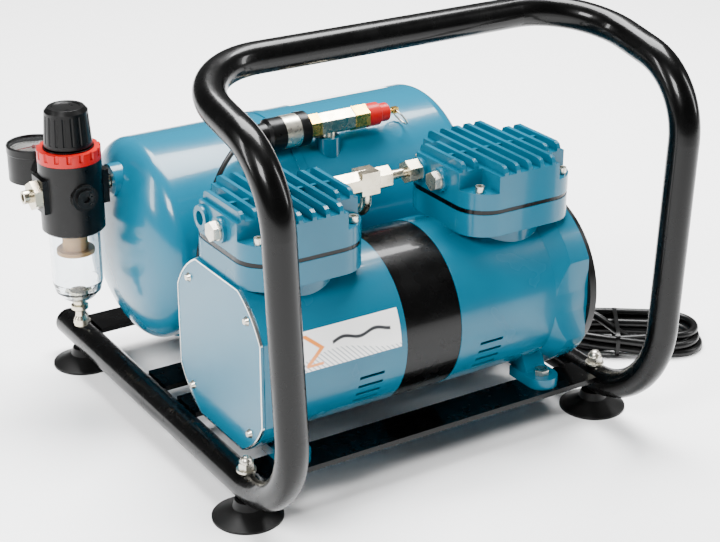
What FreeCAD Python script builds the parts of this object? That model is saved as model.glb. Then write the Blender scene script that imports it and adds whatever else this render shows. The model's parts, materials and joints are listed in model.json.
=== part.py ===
"""Twin-cylinder air compressor in a carrying frame, as a parametric FreeCAD document.

Layout frame: X runs along the motor shaft, Y runs backwards and Z up. X starts midway between the two
rails, Y at the front posts and Z at the floor. The last step moves every sub-part so that the origin is
the bottom centre of the whole machine without its free power cord.
"""
import FreeCAD, Part
import math
import os
import re

import Sketcher
from FreeCAD import Placement, Rotation, Vector

doc = FreeCAD.newDocument("air_compressor")
sheet = doc.addObject("Spreadsheet::Sheet", "sizes")

SIZES = {
    # carrying frame: one bent tube, four flat bars
    "tube_radius": 11.0, "tube_wall": 1.5, "rail_height": 25.0, "rail_half_gap": 151.0,
    "rail_rear": 374.0, "shoulder_out": 11.0, "shoulder_height": 278.0, "hand_bar_depth": 124.0,
    "hand_bar_height": 304.5, "toe_bend": 68.0, "shoulder_bend": 55.0, "corner_bend": 57.0,
    "bar_width": 30.0, "bar_thick": 4.0, "bar_top": 33.0, "bar_bite": 1.0,
    "cap_length": 12.0, "cap_flange": 3.0,
    # feet and their fasteners
    "cup_radius": 25.0, "cup_lip": 1.6, "cup_hollow": 6.0, "neck_radius": 9.0, "stud_radius": 3.0,
    "stud_hole": 3.3, "washer_radius": 7.0, "washer_thick": 1.5, "nut_flats": 10.0, "nut_height": 5.0,
    "dome_radius": 4.6,
    # tank
    "tank_radius": 78.5, "tank_wall": 2.5, "tank_half": 150.0, "dome_depth": 28.0, "tank_offset": 3.0,
    "tank_depth": 286.25, "tank_height": 123.0, "tank_bar_pitch": 116.5, "seam_width": 7.0,
    "seam_rise": 0.9, "seam_offset": -14.0, "saddle_width": 40.0, "saddle_pitch": 180.0,
    "saddle_sheet": 2.5, "saddle_spread": 40.0, "saddle_foot": 22.0, "boss_radius": 9.5,
    "inlet_boss_radius": 12.5, "drain_radius": 5.0,
    # manifold on the tank
    "manifold_offset": 17.5, "manifold_depth": 240.0, "manifold_height": 203.5, "adapter_flats": 16.0,
    "adapter_length": 30.0, "riser_radius": 6.0, "switch_flats": 17.0, "switch_nut_length": 10.0,
    "switch_radius": 12.5, "switch_length": 48.0, "valve_flats": 17.0, "valve_length": 13.0,
    "cap_radius": 9.0, "cap_reach": 20.0, "pull_radius": 1.6, "pull_reach": 10.0, "ring_radius": 8.0,
    "ring_wire": 0.7,
    # motor and crankcases
    "motor_offset": -2.0, "motor_depth": 124.0, "motor_height": 97.5, "motor_bar_pitch": 111.0,
    "case_radius": 62.0, "case_wall": 4.5, "case_reach": 136.6, "stack_half": 23.0, "joint_gap": 0.2,
    "end_square": 61.5, "end_corner": 69.0, "end_flange": 17.0, "end_taper": 12.0, "web_place": 50.0,
    "web_thick": 7.0, "cover_thick": 2.0, "cover_screw_pitch": 42.5,
    "screw_radius": 3.4, "screw_rise": 2.4, "rear_cover_radius": 65.5, "rear_cover_thick": 6.0,
    "vent_radius": 4.0, "vent_circle": 44.0, "foot_reach": 102.0, "left_foot_shift": 10.0,
    "foot_pad": 24.0, "foot_thick": 8.0, "foot_web": 18.0, "bolt_flats": 10.0,
    "bolt_rise": 4.0, "louvre_length": 20.0, "louvre_gap": 2.4,
    "louvre_place": 51.0,
    # turning parts
    "shaft_radius": 6.0, "shaft_reach": 120.0, "bearing_radius": 13.0, "bearing_width": 7.0,
    "stack_bore": 31.0, "air_gap": 0.6, "winding_radius": 42.0, "winding_bulk": 7.5, "crank_throw": 6.0,
    "pin_radius": 13.0, "pin_width": 10.0, "running_gap": 0.06, "weight_radius": 28.0, "weight_thick": 5.0,
    "fan_radius": 35.0, "fan_hub": 11.0, "fan_width": 12.0, "fan_blade": 1.6, "rod_eye": 18.5,
    "rod_width": 8.0, "rod_reach": 70.0, "piston_radius": 22.5, "piston_height": 9.0,
    # cylinders and heads
    "cylinder_pitch": 178.0, "neck_bore": 32.0, "neck_outer": 39.0, "deck_square": 47.5, "deck_rise": 77.5,
    "deck_thick": 17.0, "corner_round": 24.0, "sleeve_wall": 2.9, "sleeve_length": 37.5, "plate_thick": 3.5,
    "head_half_x": 47.0, "head_half_y": 48.5, "head_block": 25.0, "head_rise": 31.5, "fin_pitch": 10.5,
    "fin_thick": 3.2, "fin_round": 4.5, "short_fin": 27.0, "pocket_start_x": 25.5, "pocket_floor": 12.5,
    "rib_thick": 3.0, "head_screw_x": 36.5, "head_screw_y": 38.0, "head_screw_radius": 3.5,
    "head_screw_rise": 4.5, "plug_flats": 12.5, "plug_rise": 6.0, "port_boss": 9.0, "port_rise": 3.0,
    "plug_place": -5.0, "port_place": 21.0, "port_height": 13.5,
    # link line between the heads
    "link_flats": 15.0, "link_block": 24.0, "link_nut": 11.0, "link_tube": 3.5, "pipe_radius": 4.0,
    "pipe_drop": 26.0,
    # filter regulator and gauge
    "reg_offset": -175.0, "reg_depth": 287.0, "port_level": 174.5, "body_radius": 23.5, "body_low": 143.0,
    "body_high": 198.0, "lug_half": 10.0, "lug_reach": 26.0, "lock_height": 10.0, "knob_low": 17.7,
    "knob_top": 16.0, "knob_height": 29.0, "knob_lift": 3.0, "bowl_radius": 19.0, "bowl_wall": 1.8,
    "bowl_depth": 58.0, "drain_reach": 22.0, "nipple_radius": 5.0, "nipple_reach": 38.0,
    "gauge_radius": 20.5, "gauge_height": 28.0, "gauge_wall": 1.6, "gauge_reach": 71.0,
    # power cord
    "cord_radius": 3.2, "lead_radius": 2.0, "gland_radius": 7.0, "plug_length": 42.0, "plug_width": 34.0,
    "plug_thick": 26.0,
    # gaps that keep pieces apart
    "fit_gap": 0.05, "move_gap": 0.3,
}

for row, (alias, number) in enumerate(SIZES.items(), start=1):
    sheet.set("A%d" % row, alias)
    sheet.set("B%d" % row, str(number))
    sheet.setAlias("B%d" % row, alias)
doc.recompute()

X_AXIS, Y_AXIS, Z_AXIS = Vector(1, 0, 0), Vector(0, 1, 0), Vector(0, 0, 1)
nodes = []


def worth(formula):
    """Number that a formula of sheet names stands for: terms joined by + and -, factors by * and /."""
    total = 0.0
    for sign, term in re.findall(r"([+-]?)\s*([^+\-]+)", formula):
        product = 1.0
        for mark, factor in re.findall(r"([*/]?)\s*([\w.]+)", term):
            number = SIZES[factor] if factor in SIZES else float(factor)
            product = product / number if mark == "/" else product * number
        total += -product if sign == "-" else product
    return total


def linked(formula):
    """The same formula as FreeCAD reads it, with each name taken from the sheet."""
    return re.sub(r"[a-z][a-z_]+", lambda word: "sizes." + word.group(0), formula)


def bind(feature, **formulas):
    """Tie properties of a feature to formulas of the sheet's sizes."""
    for prop, formula in formulas.items():
        setattr(feature, prop, worth(formula))
        feature.setExpression(prop, linked(formula))
    return feature


def at(x, y, z):
    return Vector(worth(x), worth(y), worth(z))


def turned_to(axis):
    return Rotation(Z_AXIS, axis)


def cylinder(radius, length, base, axis=Z_AXIS):
    feature = doc.addObject("Part::Cylinder", "rod")
    feature.Placement = Placement(base, turned_to(axis))
    return bind(feature, Radius=radius, Height=length)


def cone(low, high, length, base, axis=Z_AXIS):
    feature = doc.addObject("Part::Cone", "taper")
    feature.Placement = Placement(base, turned_to(axis))
    return bind(feature, Radius1=low, Radius2=high, Height=length)


def block(length, width, height, corner, rotation=None):
    feature = doc.addObject("Part::Box", "block")
    feature.Placement = Placement(corner, rotation or Rotation())
    return bind(feature, Length=length, Width=width, Height=height)


def centred_block(length, width, height, middle, rotation=None):
    """A block whose middle sits at a point, so it turns about that point."""
    rotation = rotation or Rotation()
    half = Vector(worth(length), worth(width), worth(height)) * 0.5
    return block(length, width, height, middle - rotation.multVec(half), rotation)


def hexagon(flats, length, base, axis=Z_AXIS):
    """A hexagonal bar given by its width across flats."""
    feature = doc.addObject("Part::Prism", "hex")
    feature.Polygon = 6
    feature.Placement = Placement(base, turned_to(axis))
    return bind(feature, Circumradius=flats + " / 1.7320508", Height=length)


def ring_wire(major, minor, middle, axis):
    feature = doc.addObject("Part::Torus", "ring")
    feature.Placement = Placement(middle, turned_to(axis))
    return bind(feature, Radius1=major, Radius2=minor)


def joined(*pieces):
    feature = doc.addObject("Part::MultiFuse", "joined")
    feature.Shapes = list(pieces)
    feature.Refine = True
    return feature


def cut(base, *tools):
    feature = doc.addObject("Part::Cut", "cut")
    feature.Base = base
    feature.Tool = tools[0] if len(tools) == 1 else joined(*tools)
    feature.Refine = True
    return feature


def common(first, second):
    feature = doc.addObject("Part::MultiCommon", "common")
    feature.Shapes = [first, second]
    return feature


def group(*pieces):
    """Like pieces that share one node as separate solids."""
    feature = doc.addObject("Part::Compound", "group")
    feature.Links = list(pieces)
    return feature


def node(label, feature):
    feature.Label = label
    nodes.append(feature)
    return feature


def sketch(body, role, outline, offset=0.0):
    """A closed outline on one of the body's own planes, each corner tied to the sheet."""
    drawing = body.newObject("Sketcher::SketchObject", "outline")
    plane = next(face for face in body.Origin.OriginFeatures if face.Role == role)
    drawing.AttachmentSupport = [(plane, "")]
    drawing.MapMode = "FlatFace"
    drawing.AttachmentOffset = Placement(Vector(0, 0, offset), Rotation())
    corners = [Vector(worth(across), worth(up), 0) for across, up in outline]
    for start, end in zip(corners, corners[1:] + corners[:1]):
        drawing.addGeometry(Part.LineSegment(start, end), False)
    for index, (across, up) in enumerate(outline):
        following = (index + 1) % len(outline)
        drawing.addConstraint(Sketcher.Constraint("Coincident", index, 2, following, 1))
        for kind, formula, zero_line in (("DistanceX", across, -2), ("DistanceY", up, -1)):
            if worth(formula) == 0:
                drawing.addConstraint(Sketcher.Constraint("PointOnObject", index, 1, zero_line))
                continue
            tie = Sketcher.Constraint(kind, -1, 1, index, 1, worth(formula))
            number = drawing.addConstraint(tie)
            drawing.setExpression("Constraints[%d]" % number, linked(formula))
    return drawing


def new_body(place):
    body = doc.addObject("PartDesign::Body", "body")
    body.Placement = place
    return body


def pad(body, drawing, length, both_ways=False):
    feature = body.newObject("PartDesign::Pad", "pad")
    feature.Profile = drawing
    feature.Midplane = both_ways
    return bind(feature, Length=length)


def rounded(body, feature, radius, direction):
    """Round the straight edges of a feature that run along one direction."""
    doc.recompute()
    names = []
    for index, edge in enumerate(feature.Shape.Edges, start=1):
        along = edge.Vertexes[-1].Point - edge.Vertexes[0].Point
        if along.Length > 0 and abs(along.normalize().dot(direction)) > 0.999:
            names.append("Edge%d" % index)
    fillet = body.newObject("PartDesign::Fillet", "rounding")
    fillet.Base = (feature, names)
    return bind(fillet, Radius=radius)


def turned(place, outline):
    """A piece turned on a lathe: its half section on the XZ plane, spun about Z."""
    body = new_body(place)
    drawing = sketch(body, "XZ_Plane", outline)
    feature = body.newObject("PartDesign::Revolution", "turning")
    feature.Profile = drawing
    feature.ReferenceAxis = (drawing, ["V_Axis"])
    feature.Angle = 360
    return body


def bent_path(points, bends):
    """A line of straight runs joined by tangent arcs, one bend radius for each inner point."""
    edges = []
    start = points[0]
    for before, corner, after, bend in zip(points, points[1:], points[2:], bends):
        back = (before - corner).normalize()
        ahead = (after - corner).normalize()
        half_turn = (math.pi - back.getAngle(ahead)) / 2
        enter = corner + back * (bend * math.tan(half_turn))
        leave = corner + ahead * (bend * math.tan(half_turn))
        inside = (back + ahead).normalize() * (bend / math.cos(half_turn) - bend)
        edges.append(Part.LineSegment(start, enter).toShape())
        edges.append(Part.Arc(enter, corner + inside, leave).toShape())
        start = leave
    edges.append(Part.LineSegment(start, points[-1]).toShape())
    path = doc.addObject("Part::Feature", "path")
    path.Shape = Part.Wire(edges)
    return path


def tube_on(path, radius):
    """A round bar of one radius swept along a path."""
    first = path.Shape.Edges[0]
    ring = doc.addObject("Part::Circle", "section")
    bind(ring, Radius=radius)
    ring.Placement = Placement(first.Vertexes[0].Point, turned_to(first.tangentAt(first.FirstParameter)))
    sweep = doc.addObject("Part::Sweep", "sweep")
    sweep.Sections = [ring]
    sweep.Spine = (path, ["Edge%d" % number for number in range(1, len(path.Shape.Edges) + 1)])
    sweep.Solid = True
    return sweep


def cord_bends(points):
    """Each arc of a cord is as large as its two runs allow."""
    bends = []
    for before, corner, after in zip(points, points[1:], points[2:]):
        half_turn = (math.pi - (before - corner).getAngle(after - corner)) / 2
        shorter = min((corner - before).Length, (after - corner).Length)
        bends.append(0.45 * shorter / math.tan(half_turn))
    return bends


# ---------------------------------------------------------------- carrying frame
SIDES = (-1, 1)
motor_bar_places = ["motor_depth - motor_bar_pitch / 2", "motor_depth + motor_bar_pitch / 2"]
tank_bar_places = ["tank_depth - tank_bar_pitch / 2", "tank_depth + tank_bar_pitch / 2"]
foot_places = [motor_bar_places[0], tank_bar_places[1]]


def frame_points():
    """Corners of the frame tube: rail, post, arm and hand bar, then the same back on the right."""
    left = [at("-rail_half_gap", "rail_rear", "rail_height"),
            at("-rail_half_gap", "0", "rail_height"),
            at("-rail_half_gap - shoulder_out", "0", "shoulder_height"),
            at("-rail_half_gap - shoulder_out", "hand_bar_depth", "hand_bar_height")]
    return left + [Vector(-point.x, point.y, point.z) for point in reversed(left)]


def make_tube_frame():
    bends = [SIZES["toe_bend"], SIZES["shoulder_bend"], SIZES["corner_bend"]]
    path = bent_path(frame_points(), bends + bends[::-1])
    hollow = cut(tube_on(path, "tube_radius"), tube_on(path, "tube_radius - tube_wall"))
    holes = []
    for side in SIDES:
        for place in foot_places:
            base = Vector(side * SIZES["rail_half_gap"], worth(place), 0)
            holes.append(cylinder("stud_hole", "rail_height * 2", base))
    node("tube_frame", cut(hollow, *holes))


def make_cross_bar(place, holes):
    """A flat bar between the rails, with one hole for each bolt that stands on it."""
    half = "rail_half_gap - tube_radius + bar_bite"
    body = new_body(Placement(at("0", place, "bar_top - bar_thick"), Rotation()))
    flat = pad(body, sketch(body, "XY_Plane", rectangle_of(half, "bar_width / 2")), "bar_thick")
    doc.recompute()
    for offset in holes:
        drawing = body.newObject("Sketcher::SketchObject", "hole")
        plane = next(face for face in body.Origin.OriginFeatures if face.Role == "XY_Plane")
        drawing.AttachmentSupport = [(plane, "")]
        drawing.MapMode = "FlatFace"
        middle = Vector(worth(offset), 0, 0)
        drawing.addGeometry(Part.Circle(middle, Z_AXIS, SIZES["stud_hole"]), False)
        drawing.addConstraint(Sketcher.Constraint("PointOnObject", 0, 3, -1))
        number = drawing.addConstraint(Sketcher.Constraint("DistanceX", -1, 1, 0, 3, middle.x))
        drawing.setExpression("Constraints[%d]" % number, linked(offset))
        number = drawing.addConstraint(Sketcher.Constraint("Radius", 0, SIZES["stud_hole"]))
        drawing.setExpression("Constraints[%d]" % number, "sizes.stud_hole")
        pocket = body.newObject("PartDesign::Pocket", "bolt_hole")
        pocket.Profile = drawing
        pocket.Type = "ThroughAll"
        pocket.Reversed = True
    doc.recompute()
    if body.Shape.Volume >= flat.Shape.Volume:
        raise RuntimeError("bolt holes of the bar at %s cut nothing" % place)
    return body


def rectangle_of(half_x, half_y):
    """Corners of a centred rectangle whose half sides are formulas of several terms."""
    minus_x = "-" + half_x.replace("-", "~").replace("+", "-").replace("~", "+")
    minus_y = "-" + half_y.replace("-", "~").replace("+", "-").replace("~", "+")
    return [(minus_x, minus_y), (half_x, minus_y), (half_x, half_y), (minus_x, half_y)]


def make_rail_caps():
    """Plastic plugs in the rear ends of both rails: a flange outside and a spigot in the bore."""
    caps = []
    for side in SIDES:
        base = Vector(side * SIZES["rail_half_gap"], SIZES["rail_rear"], SIZES["rail_height"])
        spigot = cylinder("tube_radius - tube_wall - fit_gap", "cap_length", base, -Y_AXIS)
        rim = cone("tube_radius", "tube_radius - 2 * tube_wall", "cap_flange", base, Y_AXIS)
        caps.append(joined(spigot, rim))
    node("rail_end_caps", group(*caps))


motor_bolt_offsets = ["motor_offset - foot_reach - left_foot_shift", "motor_offset + foot_reach"]
saddle_bolt_offsets = ["tank_offset - saddle_pitch / 2", "tank_offset + saddle_pitch / 2"]
make_tube_frame()
motor_bars = [make_cross_bar(place, motor_bolt_offsets) for place in motor_bar_places]
tank_bars = [make_cross_bar(place, saddle_bolt_offsets) for place in tank_bar_places]
node("cross_bars", group(*motor_bars, *tank_bars))
make_rail_caps()


# ---------------------------------------------------------------- feet
def foot_middles():
    for side in SIDES:
        for place in foot_places:
            yield Vector(side * SIZES["rail_half_gap"], worth(place), 0)


def make_feet():
    """Rubber suction cups under the rails: a hollow cup, a neck and a bore for the stud."""
    top = "rail_height - tube_radius"
    section = [("stud_radius + fit_gap", "cup_hollow"), ("neck_radius", "cup_hollow"),
               ("cup_radius - cup_lip", "0"), ("cup_radius", "0"), ("cup_radius", "cup_lip"),
               ("neck_radius + cup_lip", "cup_hollow + cup_lip * 1.5"), ("neck_radius", top),
               ("stud_radius + fit_gap", top)]
    cups = [turned(Placement(middle, Rotation()), section) for middle in foot_middles()]
    node("suction_feet", group(*cups))


def make_foot_fasteners():
    studs, washers, nuts = [], [], []
    seat = "rail_height + tube_radius"
    for middle in foot_middles():
        lift = Vector(0, 0, worth("cup_hollow"))
        studs.append(cylinder("stud_radius", seat + " + washer_thick + nut_height - cup_hollow",
                              middle + lift))
        ring = cylinder("washer_radius", "washer_thick", middle + at("0", "0", seat))
        washers.append(cut(ring, cylinder("stud_hole", "rail_height * 3", middle)))
        foot = middle + at("0", "0", seat + " + washer_thick")
        body = joined(hexagon("nut_flats", "nut_height", foot), dome_on(foot))
        nuts.append(cut(body, cylinder("stud_radius + fit_gap", "nut_height + fit_gap", foot)))
    node("foot_studs", group(*studs))
    node("foot_washers", group(*washers))
    node("foot_dome_nuts", group(*nuts))


def dome_on(foot):
    """The round top of a dome nut, a ball set into the hexagon."""
    ball = doc.addObject("Part::Sphere", "dome")
    ball.Placement = Placement(foot + at("0", "0", "nut_height"), Rotation())
    ball.Angle1 = 0
    return bind(ball, Radius="dome_radius")


make_feet()
make_foot_fasteners()


# ---------------------------------------------------------------- tank
def capsule(radius, half, depth):
    """The tank's form: a cylinder along X with an elliptical dome at each end."""
    middle = at("tank_offset", "tank_depth", "tank_height")
    straight = half + " - " + depth
    barrel = cylinder(radius, "2 * " + half + " - 2 * " + depth, middle - X_AXIS * worth(straight), X_AXIS)
    pieces = [barrel]
    for side in SIDES:
        dome = doc.addObject("Part::Ellipsoid", "dome")
        dome.Placement = Placement(middle + X_AXIS * (side * worth(straight)), turned_to(X_AXIS))
        pieces.append(bind(dome, Radius1=depth, Radius2=radius, Radius3=radius))
    return joined(*pieces)


def dome_reach(above_axis):
    """How far the tank's end stands from its middle at a height above its axis."""
    share = math.sqrt(1 - (above_axis / SIZES["tank_radius"]) ** 2)
    return SIZES["tank_half"] - SIZES["dome_depth"] * (1 - share)


def tank_front(height):
    """Y of the tank's front skin at a height above the floor."""
    rise = height - SIZES["tank_height"]
    return SIZES["tank_depth"] - math.sqrt(SIZES["tank_radius"] ** 2 - rise ** 2)


manifold = at("manifold_offset", "manifold_depth", "manifold_height")
boss_top = manifold.z - worth("adapter_flats / 2")
pipe_level = worth("motor_height + deck_rise + plate_thick + port_height - pipe_drop")
pipe_x = worth("motor_offset - cylinder_pitch / 2 + head_half_x + port_rise + link_block * 1.4")


def make_tank():
    outer = capsule("tank_radius", "tank_half", "dome_depth")
    inner = capsule("tank_radius - tank_wall", "tank_half - tank_wall", "dome_depth - tank_wall")
    seam_middle = at("tank_offset + seam_offset - seam_width / 2", "tank_depth", "tank_height")
    seam = cylinder("tank_radius + seam_rise", "seam_width", seam_middle, X_AXIS)
    bosses = tank_bosses()
    whole = cut(joined(outer, seam), inner, *[boss_hole(*boss) for boss in bosses])
    node("tank_shell", whole)
    node("tank_weld_bosses", group(*[make_boss(*boss) for boss in bosses]))


def tank_bosses():
    """Start, direction and length of each threaded boss: manifold, regulator, delivery and drain."""
    tank = at("tank_offset", "tank_depth", "tank_height")
    rise = SIZES["port_level"] - tank.z
    top = manifold.y - tank.y
    skin = tank.z + math.sqrt(SIZES["tank_radius"] ** 2 - top ** 2)
    sunk = 12.0
    lift = Vector(manifold.x, manifold.y, skin - sunk)
    side_x = tank.x - dome_reach(rise) + sunk
    side = Vector(side_x, SIZES["reg_depth"], SIZES["port_level"])
    front = Vector(pipe_x, tank_front(pipe_level) + sunk, pipe_level)
    low = Vector(tank.x, tank.y, tank.z - SIZES["tank_radius"] + sunk)
    inlet_length = side_x - worth("reg_offset + lug_reach") - 4.0
    return [(lift, Z_AXIS, boss_top - lift.z - 2.0, "boss_radius"),
            (side, -X_AXIS, inlet_length, "inlet_boss_radius"),
            (front, -Y_AXIS, sunk + 6.0, "boss_radius"), (low, -Z_AXIS, sunk + 4.0, "boss_radius")]


def fixed_cylinder(radius, length, base, axis):
    """A cylinder whose length follows other pieces and so is worked out here."""
    feature = cylinder(radius, "1", base, axis)
    feature.setExpression("Height", None)
    feature.Height = length
    return feature


def make_boss(base, axis, length, radius):
    bore = fixed_cylinder("riser_radius + fit_gap", length + 2, base - axis, axis)
    return cut(fixed_cylinder(radius, length, base, axis), bore)


def boss_hole(base, axis, length, radius):
    return fixed_cylinder(radius + " + fit_gap", length, base, axis)


def make_saddles():
    """Bent sheet under the tank: a cradle round its belly, two legs and two feet on the bars."""
    saddles = []
    sheet_thick = SIZES["saddle_sheet"]
    seat = SIZES["tank_radius"] + SIZES["fit_gap"]
    spread = math.radians(SIZES["saddle_spread"])
    mitre = 2.3 * sheet_thick / seat
    foot_z = SIZES["bar_top"] + sheet_thick
    bar = SIZES["tank_bar_pitch"] / 2
    inner, outer = [], []
    for reach, turn, line in ((seat, spread, inner), (seat + sheet_thick, spread - mitre, outer)):
        line.append(Vector(0, reach * math.sin(turn), -reach * math.cos(turn)))
        line.append(Vector(0, 0, -reach))
        line.append(Vector(0, -reach * math.sin(turn), -reach * math.cos(turn)))
    drop = SIZES["tank_height"]
    half_foot = SIZES["saddle_foot"] / 2
    def corner(y, z):
        return Vector(0, y, z - drop)
    right = [corner(bar - half_foot, foot_z), corner(bar + half_foot, foot_z),
             corner(bar + half_foot, foot_z - sheet_thick), corner(bar - half_foot - 2, foot_z - sheet_thick)]
    left = [Vector(0, -point.y, point.z) for point in right]
    edges = [Part.Arc(inner[2], inner[1], inner[0]).toShape()]
    run = [inner[0], right[0], right[1], right[2], right[3], outer[0]]
    edges += [Part.LineSegment(a, b).toShape() for a, b in zip(run, run[1:])]
    edges.append(Part.Arc(outer[0], outer[1], outer[2]).toShape())
    run = [outer[2], left[3], left[2], left[1], left[0], inner[2]]
    edges += [Part.LineSegment(a, b).toShape() for a, b in zip(run, run[1:])]
    face = Part.Face(Part.Wire(edges))
    width = SIZES["saddle_width"]
    for side in SIDES:
        x = worth("tank_offset") + side * worth("saddle_pitch / 2")
        plate = doc.addObject("Part::Feature", "saddle")
        bent = face.extrude(Vector(width, 0, 0))
        for way in SIDES:
            hole = Part.makeCylinder(SIZES["stud_hole"], 60, Vector(width / 2, way * bar, -drop))
            bent = bent.cut(hole)
        plate.Shape = bent
        plate.Placement = Placement(Vector(x - width / 2, SIZES["tank_depth"], drop), Rotation())
        saddles.append(plate)
    node("tank_saddles", group(*saddles))


def hex_bolt(seat_point, grip):
    """A hexagon bolt standing in a hole, its head on top and its shank through the bar."""
    shank = fixed_cylinder("stud_radius", grip, seat_point - Z_AXIS * grip, Z_AXIS)
    return joined(shank, hexagon("bolt_flats", "bolt_rise", seat_point))


def saddle_bolts():
    bolts = []
    seat = worth("bar_top + saddle_sheet")
    for offset in saddle_bolt_offsets:
        for place in tank_bar_places:
            bolts.append(hex_bolt(Vector(worth(offset), worth(place), seat), 11.0))
    return bolts


make_tank()
make_saddles()


# ---------------------------------------------------------------- manifold: adapter, switch, safety valve
def make_manifold():
    start = manifold - X_AXIS * worth("adapter_length * 0.3")
    end = start + X_AXIS * SIZES["adapter_length"]
    bar = hexagon("adapter_flats", "adapter_length", start, X_AXIS)
    low = Vector(manifold.x, manifold.y, boss_top - 10.0)
    riser = fixed_cylinder("riser_radius", 10.0 + SIZES["adapter_flats"] / 2, low, Z_AXIS)
    node("manifold_adapter", joined(bar, riser))
    nut_start = start - X_AXIS * SIZES["switch_nut_length"]
    node("switch_nut", hexagon("switch_flats", "switch_nut_length", nut_start, X_AXIS))
    switch = [("0", "0"), ("switch_radius - 1.5", "0"), ("switch_radius + 0.8", "1.5"),
              ("switch_radius + 0.8", "9"), ("switch_radius", "9.5"),
              ("switch_radius", "switch_length - 14"), ("switch_radius - 2.5", "switch_length - 12"),
              ("switch_radius - 3.5", "switch_length - 3"), ("switch_radius - 6", "switch_length"),
              ("0", "switch_length")]
    node("switch_body", turned(Placement(nut_start, turned_to(-X_AXIS)), switch))
    return start, nut_start, end


def make_safety_valve(start):
    """Brass body, red two-step cap, a pull stem with a cross hole and a split ring in the hole."""
    hexed = hexagon("valve_flats", "valve_length", start, X_AXIS)
    cap_start = start + X_AXIS * SIZES["valve_length"]
    body = cut(hexed, cylinder("pull_radius + move_gap", "valve_length", start, X_AXIS))
    node("safety_valve_body", body)
    cap = [("pull_radius + move_gap", "0"), ("cap_radius", "0"), ("cap_radius", "cap_reach * 0.52"),
           ("cap_radius - 1.8", "cap_reach * 0.6"), ("cap_radius - 1.8", "cap_reach - 1"),
           ("cap_radius - 2.8", "cap_reach"), ("pull_radius + move_gap", "cap_reach")]
    node("safety_valve_cap", turned(Placement(cap_start, turned_to(X_AXIS)), cap))
    stem_end = cap_start + X_AXIS * worth("cap_reach + pull_reach")
    length = worth("valve_length + cap_reach + pull_reach") - 3.0
    stem = fixed_cylinder("pull_radius", length, stem_end - X_AXIS * length, X_AXIS)
    eye = stem_end - X_AXIS * 2.6
    flat = centred_block("ring_wire * 7", "ring_wire * 6", "ring_wire * 6.5", eye - X_AXIS * 0.2)
    hole = cylinder("ring_wire * 2", "20", eye - Y_AXIS * 10, Y_AXIS)
    node("safety_pull_stem", cut(joined(stem, flat), hole))
    hang = Vector(0.6, 0, -0.8)
    drop = eye + hang * SIZES["ring_radius"]
    node("safety_pull_ring", ring_wire("ring_radius", "ring_wire", drop, hang.cross(Y_AXIS)))


adapter_start, switch_start, adapter_end = make_manifold()
make_safety_valve(adapter_end)


# ---------------------------------------------------------------- motor: castings, stack and covers
motor = at("motor_offset", "motor_depth", "motor_height")
half_pitch = worth("cylinder_pitch / 2")


def side_axis(side):
    return X_AXIS * side


def motor_point(side, reach):
    """A point on the shaft line at a distance from the motor's middle, to one side."""
    return motor + X_AXIS * (side * reach)


def rounded_square(half, radius, thick, base, side):
    """A square plate across the shaft with its corners taken off by a larger circle."""
    start = base if side > 0 else base - X_AXIS * worth(thick)
    square = centred_block(thick, "2 * " + half, "2 * " + half, start + X_AXIS * worth(thick + " / 2"))
    return common(square, cylinder(radius, thick, start, X_AXIS))


def deck_slab(half, thick, middle, low):
    """A rounded square slab round a cylinder axis."""
    body = new_body(Placement(Vector(middle.x, middle.y, low), Rotation()))
    slab = pad(body, sketch(body, "XY_Plane", rectangle_of(half, half)), thick)
    rounded(body, slab, "corner_round", Z_AXIS)
    return body


def foot_place(side):
    return worth(motor_bolt_offsets[0] if side < 0 else motor_bolt_offsets[1])


def foot_lug(side, way):
    """A cast foot: a tongue on the bar, round at its bolt end, and a web that slopes up to the case."""
    x = foot_place(side)
    y = motor.y + way * worth("motor_bar_pitch / 2")
    tip = cylinder("foot_pad / 2", "foot_thick", Vector(x, y, SIZES["bar_top"]))
    root = Vector(x, y - way * SIZES["foot_pad"] / 2, worth("bar_top + foot_thick / 2"))
    tongue = centred_block("foot_pad", "foot_pad", "foot_thick", root)
    toe, top, wide = 0.55 * SIZES["foot_pad"] / 2, worth("bar_top + foot_thick"), SIZES["foot_web"]
    outline = [(toe, top - 1), (toe, top), (toe + 9, top + 17), (toe + 24, top + 22), (toe + 24, top - 1)]
    points = [Vector(x - wide / 2, y - way * inward, level) for inward, level in outline]
    web = doc.addObject("Part::Feature", "foot_web")
    web.Shape = Part.Face(Part.makePolygon(points + points[:1])).extrude(Vector(wide, 0, 0))
    return [tip, tongue, web]


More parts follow.
